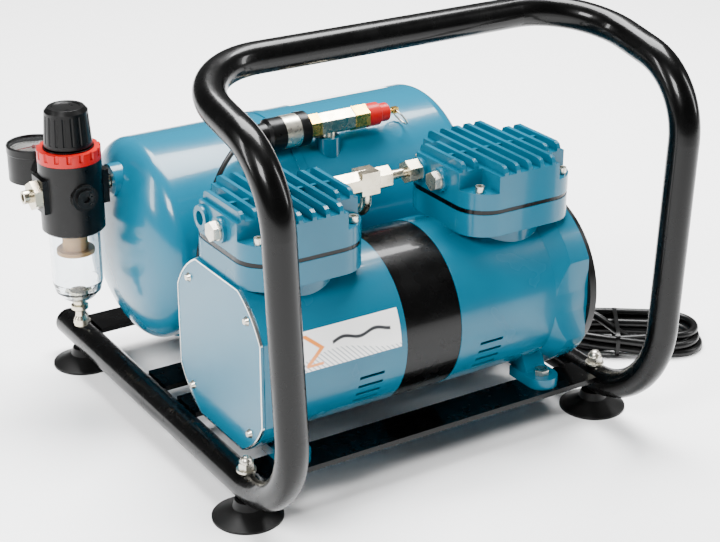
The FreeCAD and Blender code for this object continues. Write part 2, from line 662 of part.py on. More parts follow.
def make_crankcase(label, side):
    axis = side_axis(side)
    inner_end = motor_point(side, worth("stack_half + joint_gap"))
    barrel = cylinder("case_radius", "case_reach - stack_half - joint_gap", inner_end, axis)
    flange_start = motor_point(side, worth("case_reach - end_flange"))
    flange = rounded_square("end_square", "end_corner", "end_flange", flange_start, side)
    taper_start = motor_point(side, worth("case_reach - end_flange - end_taper"))
    taper_middle = taper_start + axis * worth("end_taper / 2")
    taper = common(cone("case_radius", "end_corner", "end_taper", taper_start, axis),
                   centred_block("end_taper", "2 * end_square", "2 * end_square", taper_middle))
    top = motor_point(side, half_pitch)
    neck = cylinder("neck_outer", "deck_rise - deck_thick / 2", top)
    deck_low = motor.z + worth("deck_rise - deck_thick")
    deck = deck_slab("deck_square", "deck_thick", top, deck_low)
    lugs = foot_lug(side, -1) + foot_lug(side, 1)
    solid = joined(barrel, flange, taper, neck, deck, *lugs)
    chamber_start = motor_point(side, worth("web_place + web_thick"))
    chamber = cylinder("case_radius - case_wall", "case_reach - web_place - web_thick + 1", chamber_start,
                       axis)
    stator_room = cylinder("case_radius - case_wall", "web_place - stack_half",
                           motor_point(side, SIZES["stack_half"]), axis)
    seat_start = motor_point(side, worth("web_place - web_thick"))
    seat = cylinder("bearing_radius", "web_thick * 3", seat_start, axis)
    bore = cylinder("neck_bore", "deck_rise + 1", top)
    vented = cut(solid, *(louvres(side) + foot_holes(side) + cover_holes(side)))
    node(label, cut(cut(vented, chamber, stator_room), seat, bore))


def foot_holes(side):
    holes = []
    for way in SIDES:
        base = Vector(foot_place(side), motor.y + way * worth("motor_bar_pitch / 2"),
                      SIZES["bar_top"] - 1)
        holes.append(fixed_cylinder("stud_hole", worth("foot_thick") + 2, base, Z_AXIS))
    return holes


def louvres(side):
    """Four slots low on the front and on the back of the case."""
    slots = []
    x = motor.x + side * SIZES["louvre_place"]
    for way in SIDES:
        for step in range(4):
            angle = math.radians(13.0 + 7.5 * step)
            out = Vector(0, way * math.cos(angle), -math.sin(angle))
            middle = Vector(x, motor.y, motor.z) + out * SIZES["case_radius"]
            slots.append(centred_block("case_wall * 3", "louvre_length", "louvre_gap", middle,
                                       slot_turn(out)))
    return slots


def slot_turn(out):
    """Turns a block so that its length points outwards and its width lies along the shaft."""
    across = out.cross(X_AXIS)
    return Rotation(out, X_AXIS, across, "XYZ")


def cover_holes(side):
    holes = []
    for y in SIDES:
        for z in SIDES:
            base = motor_point(side, worth("case_reach - end_flange")) + \
                Vector(0, y, z) * SIZES["cover_screw_pitch"]
            holes.append(cylinder("screw_radius / 2 + fit_gap", "end_flange + 1", base, side_axis(side)))
    return holes


def make_motor_shell():
    for label, side in (("crankcase_left", -1), ("crankcase_right", 1)):
        make_crankcase(label, side)
    left_face = motor_point(-1, worth("case_reach"))
    plate = rounded_square("end_square - 1", "end_corner - 1", "cover_thick", left_face, -1)
    holes = [cylinder("screw_radius / 2 + fit_gap", "cover_thick + 2", left_face + X_AXIS + corner, -X_AXIS)
             for corner in cover_corners()]
    node("end_cover_left", cut(plate, *holes))
    right_face = motor_point(1, worth("case_reach"))
    disc = cylinder("rear_cover_radius", "rear_cover_thick", right_face, X_AXIS)
    vents = [cylinder("screw_radius / 2 + fit_gap", "rear_cover_thick + 2",
                      right_face - X_AXIS + corner, X_AXIS) for corner in cover_corners()]
    for step in range(12):
        turn = math.radians(30 * step + 15)
        spot = Vector(0, math.cos(turn), math.sin(turn)) * (SIZES["vent_circle"] * 0.8) - X_AXIS
        vents.append(cylinder("vent_radius", "rear_cover_thick + 2", right_face + spot, X_AXIS))
    node("end_cover_right", cut(disc, *vents))


def cover_corners():
    pitch = SIZES["cover_screw_pitch"]
    return [Vector(0, y * pitch, z * pitch) for y in SIDES for z in SIDES]


def make_motor_fasteners():
    screws = []
    for side, thick in ((-1, "cover_thick"), (1, "rear_cover_thick")):
        for corner in cover_corners():
            seat = motor_point(side, worth("case_reach + " + thick)) + corner
            head = cone("screw_radius", "screw_radius * 0.6", "screw_rise", seat, side_axis(side))
            shank = cylinder("screw_radius / 2", thick + " + 8", seat, -side_axis(side))
            screws.append(joined(head, shank))
    node("cover_screws", group(*screws))
    bolts = []
    for side in SIDES:
        for way in SIDES:
            seat = Vector(foot_place(side), motor.y + way * worth("motor_bar_pitch / 2"),
                          worth("bar_top + foot_thick"))
            bolts.append(hex_bolt(seat, 17.0))
    node("mounting_bolts", group(*bolts, *saddle_bolts()))


def make_stator():
    start = motor - X_AXIS * SIZES["stack_half"]
    stack = cylinder("case_radius - 0.4", "2 * stack_half", start, X_AXIS)
    node("stator_stack", cut(stack, cylinder("stack_bore", "2 * stack_half + 2", start - X_AXIS, X_AXIS)))
    rings = [ring_wire("winding_radius", "winding_bulk",
                       motor_point(side, worth("stack_half + winding_bulk + 0.5")), X_AXIS) for side in SIDES]
    node("stator_windings", group(*rings))


make_motor_shell()
make_motor_fasteners()
make_stator()


# ---------------------------------------------------------------- turning parts
def make_rotor_and_shaft():
    half = SIZES["stack_half"]
    core = cylinder("stack_bore - air_gap", "2 * stack_half", motor - X_AXIS * half, X_AXIS)
    node("rotor", cut(core, cylinder("shaft_radius", "2 * stack_half + 2", motor - X_AXIS * (half + 1),
                                     X_AXIS)))
    node("motor_shaft", cylinder("shaft_radius", "2 * shaft_reach", motor_point(-1, SIZES["shaft_reach"]),
                                 X_AXIS))
    rings = []
    for side in SIDES:
        start = motor_point(side, SIZES["web_place"])
        outer = cylinder("bearing_radius - fit_gap", "bearing_width", start, side_axis(side))
        rings.append(cut(outer, cylinder("shaft_radius + running_gap", "bearing_width * 3",
                                         motor_point(side, worth("web_place - bearing_width")),
                                         side_axis(side))))
    node("shaft_bearings", group(*rings))


def crank_pin(side):
    """The two crank pins stand half a turn apart: the left one up, the right one down."""
    return motor_point(side, half_pitch) - Z_AXIS * (side * SIZES["crank_throw"])


def make_crank(side):
    """Eccentric pin, hub and counterweight on the shaft, opposite the pin."""
    start = motor_point(side, half_pitch - SIZES["pin_width"] / 2)
    if side < 0:
        start = start - X_AXIS * SIZES["pin_width"]
    lift = Vector(0, 0, -side * SIZES["crank_throw"])
    disc = cylinder("pin_radius", "pin_width", start + lift, X_AXIS)
    weight_start = motor_point(side, half_pitch + SIZES["pin_width"] / 2)
    wheel = cylinder("weight_radius", "weight_thick", weight_start, side_axis(side))
    middle = weight_start + side_axis(side) * worth("weight_thick / 2")
    half_space = centred_block("weight_thick * 2", "weight_radius * 2", "weight_radius",
                               middle + Vector(0, 0, side * worth("weight_radius / 2 + pin_radius / 4")))
    hub = cylinder("pin_radius", "weight_thick", weight_start, side_axis(side))
    bore = cylinder("shaft_radius", "60", motor_point(-1, half_pitch * -side + 30), X_AXIS)
    return cut(joined(disc, common(wheel, half_space), hub), bore)


def make_conrod(label, side):
    """Rocking rod: an eye on the crank pin, a blade and a piston disc in one casting."""
    pin = crank_pin(side)
    eye_start = pin - X_AXIS * worth("rod_width / 2")
    eye = cylinder("rod_eye", "rod_width", eye_start, X_AXIS)
    reach = worth("rod_reach - piston_height / 2")
    blade = centred_block("rod_width - 2", "11", "rod_reach - piston_height / 2",
                          pin + Z_AXIS * (reach / 2))
    crown = cylinder("piston_radius", "piston_height", pin + Z_AXIS * worth("rod_reach - piston_height"))
    bore = cylinder("pin_radius + running_gap", "rod_width + 2", eye_start - X_AXIS, X_AXIS)
    node(label, cut(joined(eye, blade, crown), bore))


def make_fan(side):
    """Cooling fan on the shaft end: a hub and eight flat blades set at an angle."""
    start = motor_point(side, worth("shaft_reach - fan_width - 1"))
    hub = cylinder("fan_hub", "fan_width", start, side_axis(side))
    middle = start + side_axis(side) * worth("fan_width / 2")
    blades = []
    for step in range(8):
        spin = Rotation(X_AXIS, 45.0 * step)
        pitch = Rotation(Z_AXIS, 40.0)
        spot = spin.multVec(Vector(0, 0, worth("fan_radius / 2 + fan_hub / 4")))
        blades.append(centred_block("fan_blade", "fan_width", "fan_radius - fan_hub / 2", middle + spot,
                                    spin.multiply(pitch)))
    rim = common(joined(hub, *blades), cylinder("fan_radius", "fan_width", start, side_axis(side)))
    return cut(rim, cylinder("shaft_radius", "fan_width + 2", start - side_axis(side), side_axis(side)))


make_rotor_and_shaft()
for name, side in (("left", -1), ("right", 1)):
    make_conrod("conrod_piston_" + name, side)
node("crank_eccentrics", group(*[make_crank(side) for side in SIDES]))
node("cooling_fans", group(*[make_fan(side) for side in SIDES]))


# ---------------------------------------------------------------- cylinders and heads
deck_level = motor.z + SIZES["deck_rise"]
head_level = deck_level + SIZES["plate_thick"]


def make_sleeves_and_plates():
    sleeves, plates = [], []
    for side in SIDES:
        top = motor_point(side, half_pitch)
        low = Vector(top.x, top.y, deck_level - SIZES["sleeve_length"])
        wall = cylinder("neck_bore - fit_gap", "sleeve_length", low)
        sleeves.append(cut(wall, cylinder("neck_bore - fit_gap - sleeve_wall", "sleeve_length + 2",
                                          low - Z_AXIS)))
        plate = deck_slab("deck_square - 0.4", "plate_thick", top, deck_level)
        ports = [cylinder("4", "plate_thick + 2", Vector(top.x + way * 12, top.y, deck_level - 1))
                 for way in SIDES]
        plates.append(cut(plate, *ports))
    node("cylinder_sleeves", group(*sleeves))
    node("valve_plates", group(*plates))


def fin_outline(half):
    """Side view of a fin: a low wall with its two top corners cut back."""
    top, low = "head_rise", "head_block - 2"
    return [("-" + half, low), (half, low), (half, top + " - fin_round"),
            (half + " - fin_round * 0.3", top + " - fin_round * 0.3"),
            (half + " - fin_round", top), ("-" + half + " + fin_round", top),
            ("-" + half + " + fin_round * 0.3", top + " - fin_round * 0.3"),
            ("-" + half, top + " - fin_round")]


def make_head(label, side, ports):
    """Finned head: block, nine fins front to back, a cross rib, four screw pockets and port bosses."""
    top = motor_point(side, half_pitch)
    body = new_body(Placement(Vector(top.x, top.y, head_level), Rotation()))
    slab = pad(body, sketch(body, "XY_Plane", rectangle_of("head_half_x", "head_half_y")), "head_block")
    rounded(body, slab, "corner_round", Z_AXIS)
    for step in range(-4, 5):
        half = "head_half_y" if abs(step) <= 2 else "short_fin"
        drawing = sketch(body, "YZ_Plane", fin_outline(half), step * SIZES["fin_pitch"])
        pad(body, drawing, "fin_thick", both_ways=True)
    rib_side = "4 * fin_pitch"
    rib = sketch(body, "XZ_Plane", [("-" + rib_side, "head_block - 2"), (rib_side, "head_block - 2"),
                                    (rib_side, "head_rise - 2.2"), ("-" + rib_side, "head_rise - 2.2")])
    pad(body, rib, "rib_thick", both_ways=True)
    doc.recompute()
    pockets = [corner_pocket(top, x, y) for x in SIDES for y in SIDES]
    low, back = [centred_block("head_half_x * 2 - 22", "head_half_y - 20", "16",
                               Vector(top.x, top.y + way * 19, head_level)) for way in SIDES]
    bosses, bores = [], []
    for way, place in ports:
        face = Vector(top.x + way * (worth("head_half_x") - 6), top.y + worth(place),
                      head_level + SIZES["port_height"])
        bosses.append(cylinder("port_boss", "6 + port_rise", face, X_AXIS * way))
        bores.append(cylinder("riser_radius - 1", "12 + port_rise", face - X_AXIS * (way * 6), X_AXIS * way))
    skirt = centred_block("200", "200", "20", Vector(top.x, top.y, head_level - 10))
    body_with_bosses = joined(cut(body, *pockets), *bosses)
    screw_holes = [cylinder("head_screw_radius * 0.6 + fit_gap", "40", spot - Z_AXIS * 20)
                   for spot in head_screw_spots(side)]
    node(label, cut(body_with_bosses, low, back, skirt, *bores, *screw_holes))


def corner_pocket(top, x_side, y_side):
    """Clears the fins and the block over one head screw."""
    start_x, start_y = SIZES["pocket_start_x"] + 1, SIZES["short_fin"]
    middle = Vector(top.x + x_side * (start_x + 15), top.y + y_side * (start_y + 15),
                    head_level + SIZES["pocket_floor"] + 20)
    return centred_block("30", "30", "40", middle)


def head_screw_spots(side):
    top = motor_point(side, half_pitch)
    floor = head_level + SIZES["pocket_floor"]
    return [Vector(top.x + x * SIZES["head_screw_x"], top.y + y * SIZES["head_screw_y"], floor)
            for x in SIDES for y in SIDES]


def make_head_fasteners():
    screws, plugs = [], []
    for side in SIDES:
        for spot in head_screw_spots(side):
            head = cylinder("head_screw_radius", "head_screw_rise", spot)
            shank = cylinder("head_screw_radius * 0.6", "pocket_floor - move_gap",
                             spot - Z_AXIS * worth("pocket_floor - move_gap"))
            socket = hexagon("head_screw_radius", "3", spot + Z_AXIS * worth("head_screw_rise - 2.4"))
            screws.append(cut(joined(head, shank), socket))
        face = motor_point(side, half_pitch) - X_AXIS * worth("head_half_x + port_rise")
        face = Vector(face.x, face.y + SIZES["plug_place"], head_level + SIZES["port_height"])
        collar = cylinder("plug_flats * 0.56", "1.2", face, -X_AXIS)
        head = hexagon("plug_flats", "plug_rise", face, -X_AXIS)
        thread = cylinder("riser_radius - 1 - fit_gap", "8", face, X_AXIS)
        plugs.append(joined(collar, head, thread))
    node("head_screws", group(*screws))
    node("port_plugs", group(*plugs))


make_sleeves_and_plates()
make_head("head_left", -1, [(-1, "plug_place"), (-1, "port_place"), (1, "port_place")])
make_head("head_right", 1, [(-1, "plug_place"), (-1, "port_place")])
make_head_fasteners()


# ---------------------------------------------------------------- link line and delivery pipe
def make_link():
    left = motor_point(-1, half_pitch) + X_AXIS * worth("head_half_x + port_rise")
    right = motor_point(1, half_pitch) - X_AXIS * worth("head_half_x + port_rise")
    level = head_level + SIZES["port_height"]
    y = motor.y + SIZES["port_place"]
    left_face, right_face = Vector(left.x, y, level), Vector(right.x, y, level)
    step = 1.4 * SIZES["link_block"]
    spigot = fixed_cylinder("riser_radius - 1 - fit_gap", 8.0, left_face - X_AXIS * 8, X_AXIS)
    bar = fixed_hexagon("link_flats", step, left_face, X_AXIS)
    tee = centred_block("link_flats", "link_flats", "link_flats + 2", Vector(pipe_x, y, level))
    bore_low = Vector(pipe_x, y, level - 20)
    tee = cut(joined(spigot, bar, tee), fixed_cylinder("pipe_radius + fit_gap", 20.0, bore_low, Z_AXIS))
    node("link_tee", tee)
    nut_one = Vector(pipe_x + worth("link_flats / 2"), y, level)
    nut_two = right_face - X_AXIS * SIZES["link_nut"]
    nuts = []
    for place in (nut_one, nut_two):
        hexed = hexagon("link_flats", "link_nut", place, X_AXIS)
        nuts.append(cut(hexed, cylinder("link_tube + fit_gap", "link_nut + 2", place - X_AXIS, X_AXIS)))
    node("link_union_nuts", group(*nuts))
    length = right_face.x + 6 - nut_one.x
    node("link_tube", fixed_cylinder("link_tube", length, nut_one, X_AXIS))
    pipe_top = Vector(pipe_x, y, level - 3)
    corner = Vector(pipe_x, y, pipe_level)
    end = Vector(pipe_x, tank_front(pipe_level) + 8, pipe_level)
    pipe = tube_on(bent_path([pipe_top, corner, end], [12.0]), "pipe_radius")
    node("delivery_pipe", pipe)


def fixed_hexagon(flats, length, base, axis):
    feature = hexagon(flats, "1", base, axis)
    feature.setExpression("Height", None)
    feature.Height = length
    return feature


make_link()


# ---------------------------------------------------------------- filter regulator and gauge
regulator = at("reg_offset", "reg_depth", "port_level")


def make_regulator_body():
    """Round body with a spring bonnet, square lugs left and right, bored ports and a closed front port."""
    low = Vector(regulator.x, regulator.y, SIZES["body_low"])
    drum = turned(Placement(low, Rotation()), [
        ("0", "0"), ("body_radius - 1.5", "0"), ("body_radius", "1.5"),
        ("body_radius", "body_high - body_low"), ("knob_low + 1", "body_high - body_low"),
        ("knob_low + 1", "body_high - body_low + lock_height"), ("0", "body_high - body_low + lock_height")])
    lugs = centred_block("2 * lug_reach", "2 * lug_half", "2 * lug_half + 6", regulator)
    rear = cylinder("lug_half", "lug_reach", regulator, Y_AXIS)
    front = cylinder("lug_half", "lug_reach", regulator, -Y_AXIS)
    plug = cylinder("lug_half * 0.7", "lug_reach + 2.2", regulator, -Y_AXIS)
    wrench = hexagon("nipple_radius", "3", regulator - Y_AXIS * worth("lug_reach"), -Y_AXIS)
    bores = [cylinder("nipple_radius + fit_gap", "lug_reach", regulator + axis * 12, axis)
             for axis in (X_AXIS, -X_AXIS, Y_AXIS)]
    seat = cylinder("bowl_radius + fit_gap", "16", low - Z_AXIS)
    spring_room = cylinder("knob_low - 6 + move_gap", "lock_height + 16", regulator + Z_AXIS * 16)
    node("regulator_body", cut(joined(drum, lugs, rear, front, plug), seat, spring_room, wrench, *bores))


def make_lock_ring():
    """Red ring round the bonnet with grip notches on its rim."""
    base = Vector(regulator.x, regulator.y, worth("body_high + fit_gap"))
    ring = cylinder("body_radius", "lock_height - 1", base)
    bore = cylinder("knob_low + 1 + fit_gap", "lock_height + 2", base - Z_AXIS)
    notches = []
    for step in range(16):
        turn = math.radians(22.5 * step)
        spot = Vector(math.cos(turn), math.sin(turn), 0) * worth("body_radius + 0.6")
        notches.append(cylinder("1.9", "lock_height - 3", base + spot + Z_AXIS * 3))
    node("lock_ring", cut(ring, bore, *notches))


def make_knob():
    """Fluted knob; pulled up it turns free, pushed down its skirt locks."""
    low = Vector(regulator.x, regulator.y, worth("body_high + lock_height + knob_lift / 3"))
    sleeve = cylinder("knob_low - 6", "lock_height + 6", low - Z_AXIS * worth("lock_height - 3"))
    collar = cylinder("knob_low - 3 - move_gap", "3", low + Z_AXIS * 0.7)
    room = cylinder("knob_low - 8", "lock_height + 8", low - Z_AXIS * worth("lock_height"))
    node("knob_collar", cut(joined(sleeve, collar), room))
    grip = turned(Placement(low, Rotation()), [
        ("0", "9.3"), ("knob_low - 5.7", "9.3"), ("knob_low - 5.7", "4"), ("knob_low - 3", "4"),
        ("knob_low - 3", "0"), ("knob_low", "0"), ("knob_low", "2"),
        ("knob_top", "knob_height - 3"), ("knob_top - 2.5", "knob_height"), ("knob_top - 5", "knob_height"),
        ("knob_top - 6", "knob_height - 0.8"), ("0", "knob_height - 0.8")])
    flutes = []
    for step in range(18):
        turn = math.radians(20 * step)
        out = Vector(math.cos(turn), math.sin(turn), 0)
        lean = out * worth("knob_top - knob_low") + Z_AXIS * worth("knob_height - 5")
        flutes.append(cylinder("1.3", "knob_height - 8", low + out * worth("knob_low + 0.5") + Z_AXIS * 3,
                               lean.normalize()))
    node("regulator_knob", cut(grip, *flutes))


def make_bowl():
    """Clear bowl: a thin cup with a rounded bottom, a collar and a hole for the drain."""
    top = Vector(regulator.x, regulator.y, worth("body_low + 13"))
    low = "-bowl_depth - 13"
    outer, wall = "bowl_radius", "bowl_wall"
    body = turned(Placement(top, Rotation()), [
        (outer, "0"), (outer, low + " + 16"), (outer + " - 2", low + " + 8"),
        (outer + " - 7", low + " + 2.5"), ("drain_radius + 3", low),
        ("drain_radius + fit_gap", low), ("drain_radius + fit_gap", low + " + 4"),
        (outer + " - 8", low + " + 5"), (outer + " - 4", low + " + 9.5"),
        (outer + " - " + wall, low + " + 16"), (outer + " - " + wall, "0")])
    node("filter_bowl", body)
    element = cylinder("bowl_radius * 0.5", "24", Vector(regulator.x, regulator.y, worth("body_low - 16")))
    holder = cylinder("bowl_radius * 0.75", "3", Vector(regulator.x, regulator.y, worth("body_low - 19")))
    node("filter_element", joined(element, holder))
    low = worth("body_low - bowl_depth")
    drain = turned(Placement(Vector(regulator.x, regulator.y, low), Rotation()), [
        ("0", "7"), ("drain_radius + 2.4", "7"), ("drain_radius + 2.4", "4.4"), ("drain_radius - 0.4", "4.4"),
        ("drain_radius - 0.4", "-4"), ("drain_radius + 1.5", "-5"), ("drain_radius + 1.5", "-8"),
        ("drain_radius - 1.5", "-10"), ("drain_radius - 1.5", "-14"), ("drain_radius", "-drain_reach + 5"),
        ("drain_radius", "-drain_reach"), ("0", "-drain_reach")])
    node("drain_valve", drain)


def make_nipples():
    start = regulator + X_AXIS * 14
    length = worth("tank_offset") - dome_reach(SIZES["port_level"] - SIZES["tank_height"]) + 8 - start.x
    node("inlet_nipple", fixed_cylinder("nipple_radius", length, start, X_AXIS))
    out = regulator - X_AXIS * 14
    tail = cylinder("nipple_radius", "nipple_reach - 14", out, -X_AXIS)
    collar = hexagon("2 * nipple_radius + 2", "6", regulator - X_AXIS * worth("lug_reach"), -X_AXIS)
    bore = cylinder("nipple_radius - 2", "nipple_reach", out, -X_AXIS)
    node("outlet_nipple", cut(joined(tail, collar), bore))


def make_gauge():
    """Pressure gauge lying face up behind the body, on a stem that enters its side."""
    middle = Vector(regulator.x, regulator.y + SIZES["gauge_reach"], worth("port_level - gauge_height / 2"))
    case = cylinder("gauge_radius", "gauge_height", middle)
    hollow = cylinder("gauge_radius - gauge_wall", "gauge_height", middle + Z_AXIS * 10)
    stem_start = regulator + Y_AXIS * 14
    stem_length = worth("gauge_reach - gauge_radius") - 13
    stem = fixed_cylinder("nipple_radius", stem_length, stem_start, Y_AXIS)
    hex_part = fixed_hexagon("lug_half + 2", 8.0, stem_start + Y_AXIS * (stem_length - 8), Y_AXIS)
    node("gauge_case", cut(joined(case, stem, hex_part), hollow))
    face = middle + Z_AXIS * worth("gauge_height - 6")
    node("gauge_dial", cylinder("gauge_radius - gauge_wall - fit_gap", "0.8", face))
    pin = fixed_cylinder("1.2", 2.0, face + Z_AXIS * (0.8 + SIZES["move_gap"]), Z_AXIS)
    hand = centred_block("gauge_radius * 0.8", "1.0", "0.5",
                         face + Vector(-worth("gauge_radius * 0.25"), 0, 2.2))
    node("gauge_needle", joined(pin, hand))


make_regulator_body()
make_lock_ring()
make_knob()
make_bowl()
make_nipples()
make_gauge()


# ---------------------------------------------------------------- power cord
CORD_POINTS = [Vector(*point) for point in (
    (95, 189.5, 58.9), (96.8, 199, 52.2), (102, 203.6, 43.5), (109, 204.2, 33), (117.5, 203.6, 22),
    (128, 203.8, 12), (140.5, 203.6, 5), (154, 202, 3.5), (170, 197, 3.6), (187.5, 186.8, 3.5),
    (203, 175.5, 3.5))]
HANK_MIDDLE = Vector(247, 136, 0)
HANK_SIZE = (118.0, 54.0, 24.0)
HANK_TURN = -36.0
PLUG_START = Vector(213.5, 189.5, 21.8)
PLUG_AHEAD = Vector(-0.357, 0.929, -0.1)
SWITCH_LEAD_POINTS = [Vector(*point) for point in (
    (-49.0, 240, 203.5), (-57, 239, 203), (-68, 233, 199.5), (-80, 226, 192.5), (-91, 219, 182),
    (-101, 212, 169), (-109, 206, 154), (-115, 201, 139), (-118, 198, 124), (-118, 196, 110),
    (-115, 191.5, 99), (-112, 185.2, 93))]


def make_switch_lead():
    """Thin lead from the pressure switch, hanging in front of the tank and down into the left case."""
    path = bent_path(SWITCH_LEAD_POINTS, cord_bends(SWITCH_LEAD_POINTS))
    node("switch_lead", tube_on(path, "lead_radius"))


def make_plug():
    """Round mains plug on the floor beside the hank: strain relief, body and two pins."""
    ahead = Vector(PLUG_AHEAD).normalize()
    start = PLUG_START
    stub = cylinder("cord_radius", "plug_length / 2", start - ahead * worth("plug_length / 2"), ahead)
    relief = cone("cord_radius + 0.8", "cord_radius + 3.5", "plug_length * 0.4", start, ahead)
    body_start = start + ahead * worth("plug_length * 0.4")
    body = cone("plug_thick / 2 - 2", "plug_width / 2", "plug_length * 0.3", body_start, ahead)
    face_start = body_start + ahead * worth("plug_length * 0.3")
    face = cylinder("plug_width / 2", "plug_length * 0.4", face_start, ahead)
    pin_start = face_start + ahead * worth("plug_length * 0.4")
    across = ahead.cross(Z_AXIS).normalize() * 9.5
    pins = [cylinder("2.4", "19", pin_start + across * way, ahead) for way in SIDES]
    node("mains_plug", joined(stub, relief, body, face, *pins))


def make_gland():
    """Strain relief on the back of the right case, pointing along the shaft."""
    start = CORD_POINTS[0]
    ahead = (CORD_POINTS[1] - start).normalize()
    barrel = fixed_cylinder("gland_radius", 14.0, start - ahead * 14, ahead)
    foot = centred_block("gland_radius * 2", "gland_radius * 2.4", "gland_radius * 2.6",
                         start - ahead * 15)
    node("cord_gland", joined(barrel, foot))


def make_cord():
    path = bent_path(CORD_POINTS, cord_bends(CORD_POINTS))
    tube = tube_on(path, "cord_radius")
    node("power_cord_lead", tube)
    spin = Rotation(Z_AXIS, HANK_TURN)
    long, wide, high = HANK_SIZE
    radius = wide / 2
    drum = Part.makeBox(long - wide, wide, high, Vector(-(long - wide) / 2, -radius, 0))
    for way in SIDES:
        drum = drum.fuse(Part.makeCylinder(radius, high, Vector(way * (long - wide) / 2, 0, 0)))
    drum = drum.removeSplitter()
    bundle = doc.addObject("Part::Feature", "bundle")
    bundle.Shape = drum.makeFillet(high * 0.42, [edge for edge in drum.Edges if abs(
        edge.Vertexes[0].Point.z - edge.Vertexes[-1].Point.z) < 0.01])
    bundle.Placement = Placement(HANK_MIDDLE, spin)
    node("power_cord_hank", bundle)


make_switch_lead()
make_gland()
make_cord()
make_plug()


# ---------------------------------------------------------------- placing, checks and export
FREE_CORD = ("power_cord_lead", "power_cord_hank", "mains_plug")


def finish_document():
    doc.recompute()
    for feature in doc.Objects:
        if "Invalid" in feature.State or "Error" in feature.State:
            raise RuntimeError("%s (%s) failed" % (feature.Label, feature.Name))
    box = FreeCAD.BoundBox()
    for feature in nodes:
        if feature.Shape.isNull() or not feature.Shape.isValid():
            raise RuntimeError("%s has no valid shape" % feature.Label)
        if feature.Label not in FREE_CORD:
            box.add(feature.Shape.optimalBoundingBox(False))
    shift = Vector(-box.Center.x, -box.Center.y, -box.ZMin)
    for feature in nodes:
        place = feature.Placement
        feature.Placement = Placement(place.Base + shift, place.Rotation)
    doc.recompute()
    os.makedirs("parts", exist_ok=True)
    for feature in nodes:
        feature.Shape.exportStep("parts/%s.step" % feature.Label)
    print("origin moved by", [round(part, 3) for part in shift], "nodes", len(nodes))


finish_document()
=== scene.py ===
"""Looks of a twin-cylinder air compressor, built round its CAD frame.

Sizes are in millimetres in the drawing frame: X from midway between the rails, Y from the front posts,
Z from the floor. placed() turns them into metres in the row frame.
"""

import json
import math

import bmesh
import bpy
import numpy as np
from mathutils import Matrix


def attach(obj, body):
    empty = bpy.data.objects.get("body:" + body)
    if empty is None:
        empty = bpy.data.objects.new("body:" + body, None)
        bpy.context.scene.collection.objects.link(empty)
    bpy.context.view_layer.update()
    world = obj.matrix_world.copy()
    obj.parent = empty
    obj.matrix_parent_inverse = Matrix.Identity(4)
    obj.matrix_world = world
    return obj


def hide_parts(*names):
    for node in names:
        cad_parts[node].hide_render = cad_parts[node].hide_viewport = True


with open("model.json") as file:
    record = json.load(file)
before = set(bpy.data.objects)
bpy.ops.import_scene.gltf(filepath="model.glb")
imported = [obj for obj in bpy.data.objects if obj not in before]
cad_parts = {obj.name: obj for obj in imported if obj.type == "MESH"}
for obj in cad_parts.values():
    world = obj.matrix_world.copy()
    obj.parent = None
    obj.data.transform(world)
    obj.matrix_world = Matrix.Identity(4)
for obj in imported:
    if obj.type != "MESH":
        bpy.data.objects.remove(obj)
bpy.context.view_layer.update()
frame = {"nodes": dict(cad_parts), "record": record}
scene = bpy.context.scene

MM = 0.001
ORIGIN = np.array([-18.5, 183.75, 0.0])
X, Z = np.array([1.0, 0.0, 0.0]), np.array([0.0, 0.0, 1.0])
BODY = "machine"


def placed(points):
    """Drawing points in millimetres as points of the row frame in metres."""
    return (np.asarray(points, float) - ORIGIN) * MM


# ---------------------------------------------------------------- camera
CAMERA_PLACE = (-0.5992, -1.0074, 0.6268)
CAMERA_TURN, CAMERA_TILT, CAMERA_LENS, CAMERA_SENSOR = 32.0, 23.82, 85.27, 36.0


def make_camera():
    """Looks down from the front left: CAMERA_TURN degrees round from +Y and CAMERA_TILT below level."""
    round_turn, tilt = math.radians(CAMERA_TURN), math.radians(CAMERA_TILT)
    ahead = np.array([math.sin(round_turn) * math.cos(tilt), math.cos(round_turn) * math.cos(tilt),
                      -math.sin(tilt)])
    right = np.array([math.cos(round_turn), -math.sin(round_turn), 0.0])
    data = bpy.data.cameras.new("camera")
    data.sensor_width, data.lens = CAMERA_SENSOR, CAMERA_LENS
    camera = bpy.data.objects.new("camera", data)
    scene.collection.objects.link(camera)
    turned = Matrix(np.column_stack([right, np.cross(right, ahead), -ahead]).tolist()).to_4x4()
    camera.matrix_world = Matrix.Translation(CAMERA_PLACE) @ turned
    scene.camera = camera


make_camera()


# ---------------------------------------------------------------- mesh makers
def finished(name, mesh, body=BODY, smooth=35.0):
    """Turns normals outwards, smooths faces that meet under an angle, and lets the piece ride on a body."""
    loose = bmesh.new()
    loose.from_mesh(mesh)
    bmesh.ops.recalc_face_normals(loose, faces=loose.faces)
    loose.to_mesh(mesh)
    loose.free()
    mesh.shade_smooth()
    mesh.set_sharp_from_angle(angle=math.radians(smooth))
    piece = bpy.data.objects.new(name, mesh)
    scene.collection.objects.link(piece)
    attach(piece, body)
    return piece


def skin(name, points, wrap_u=False, wrap_v=False, close=False, body=BODY, smooth=35.0):
    """Quads over a grid of drawing points. Wrap joins the last line to the first along that direction, and
    close caps both end rows."""
    rows, cols = points.shape[:2]
    index = np.arange(rows * cols).reshape(rows, cols)
    if wrap_u:
        index = np.vstack([index, index[:1]])
    if wrap_v:
        index = np.hstack([index, index[:, :1]])
    quads = np.stack([index[:-1, :-1], index[:-1, 1:], index[1:, 1:], index[1:, :-1]], axis=-1)
    faces = quads.reshape(-1, 4).tolist()
    if close:
        faces += [index[0, :cols].tolist(), index[-1, :cols][::-1].tolist()]
    mesh = bpy.data.meshes.new(name)
    mesh.from_pydata(placed(points).reshape(-1, 3).tolist(), [], faces)
    return finished(name, mesh, body, smooth)


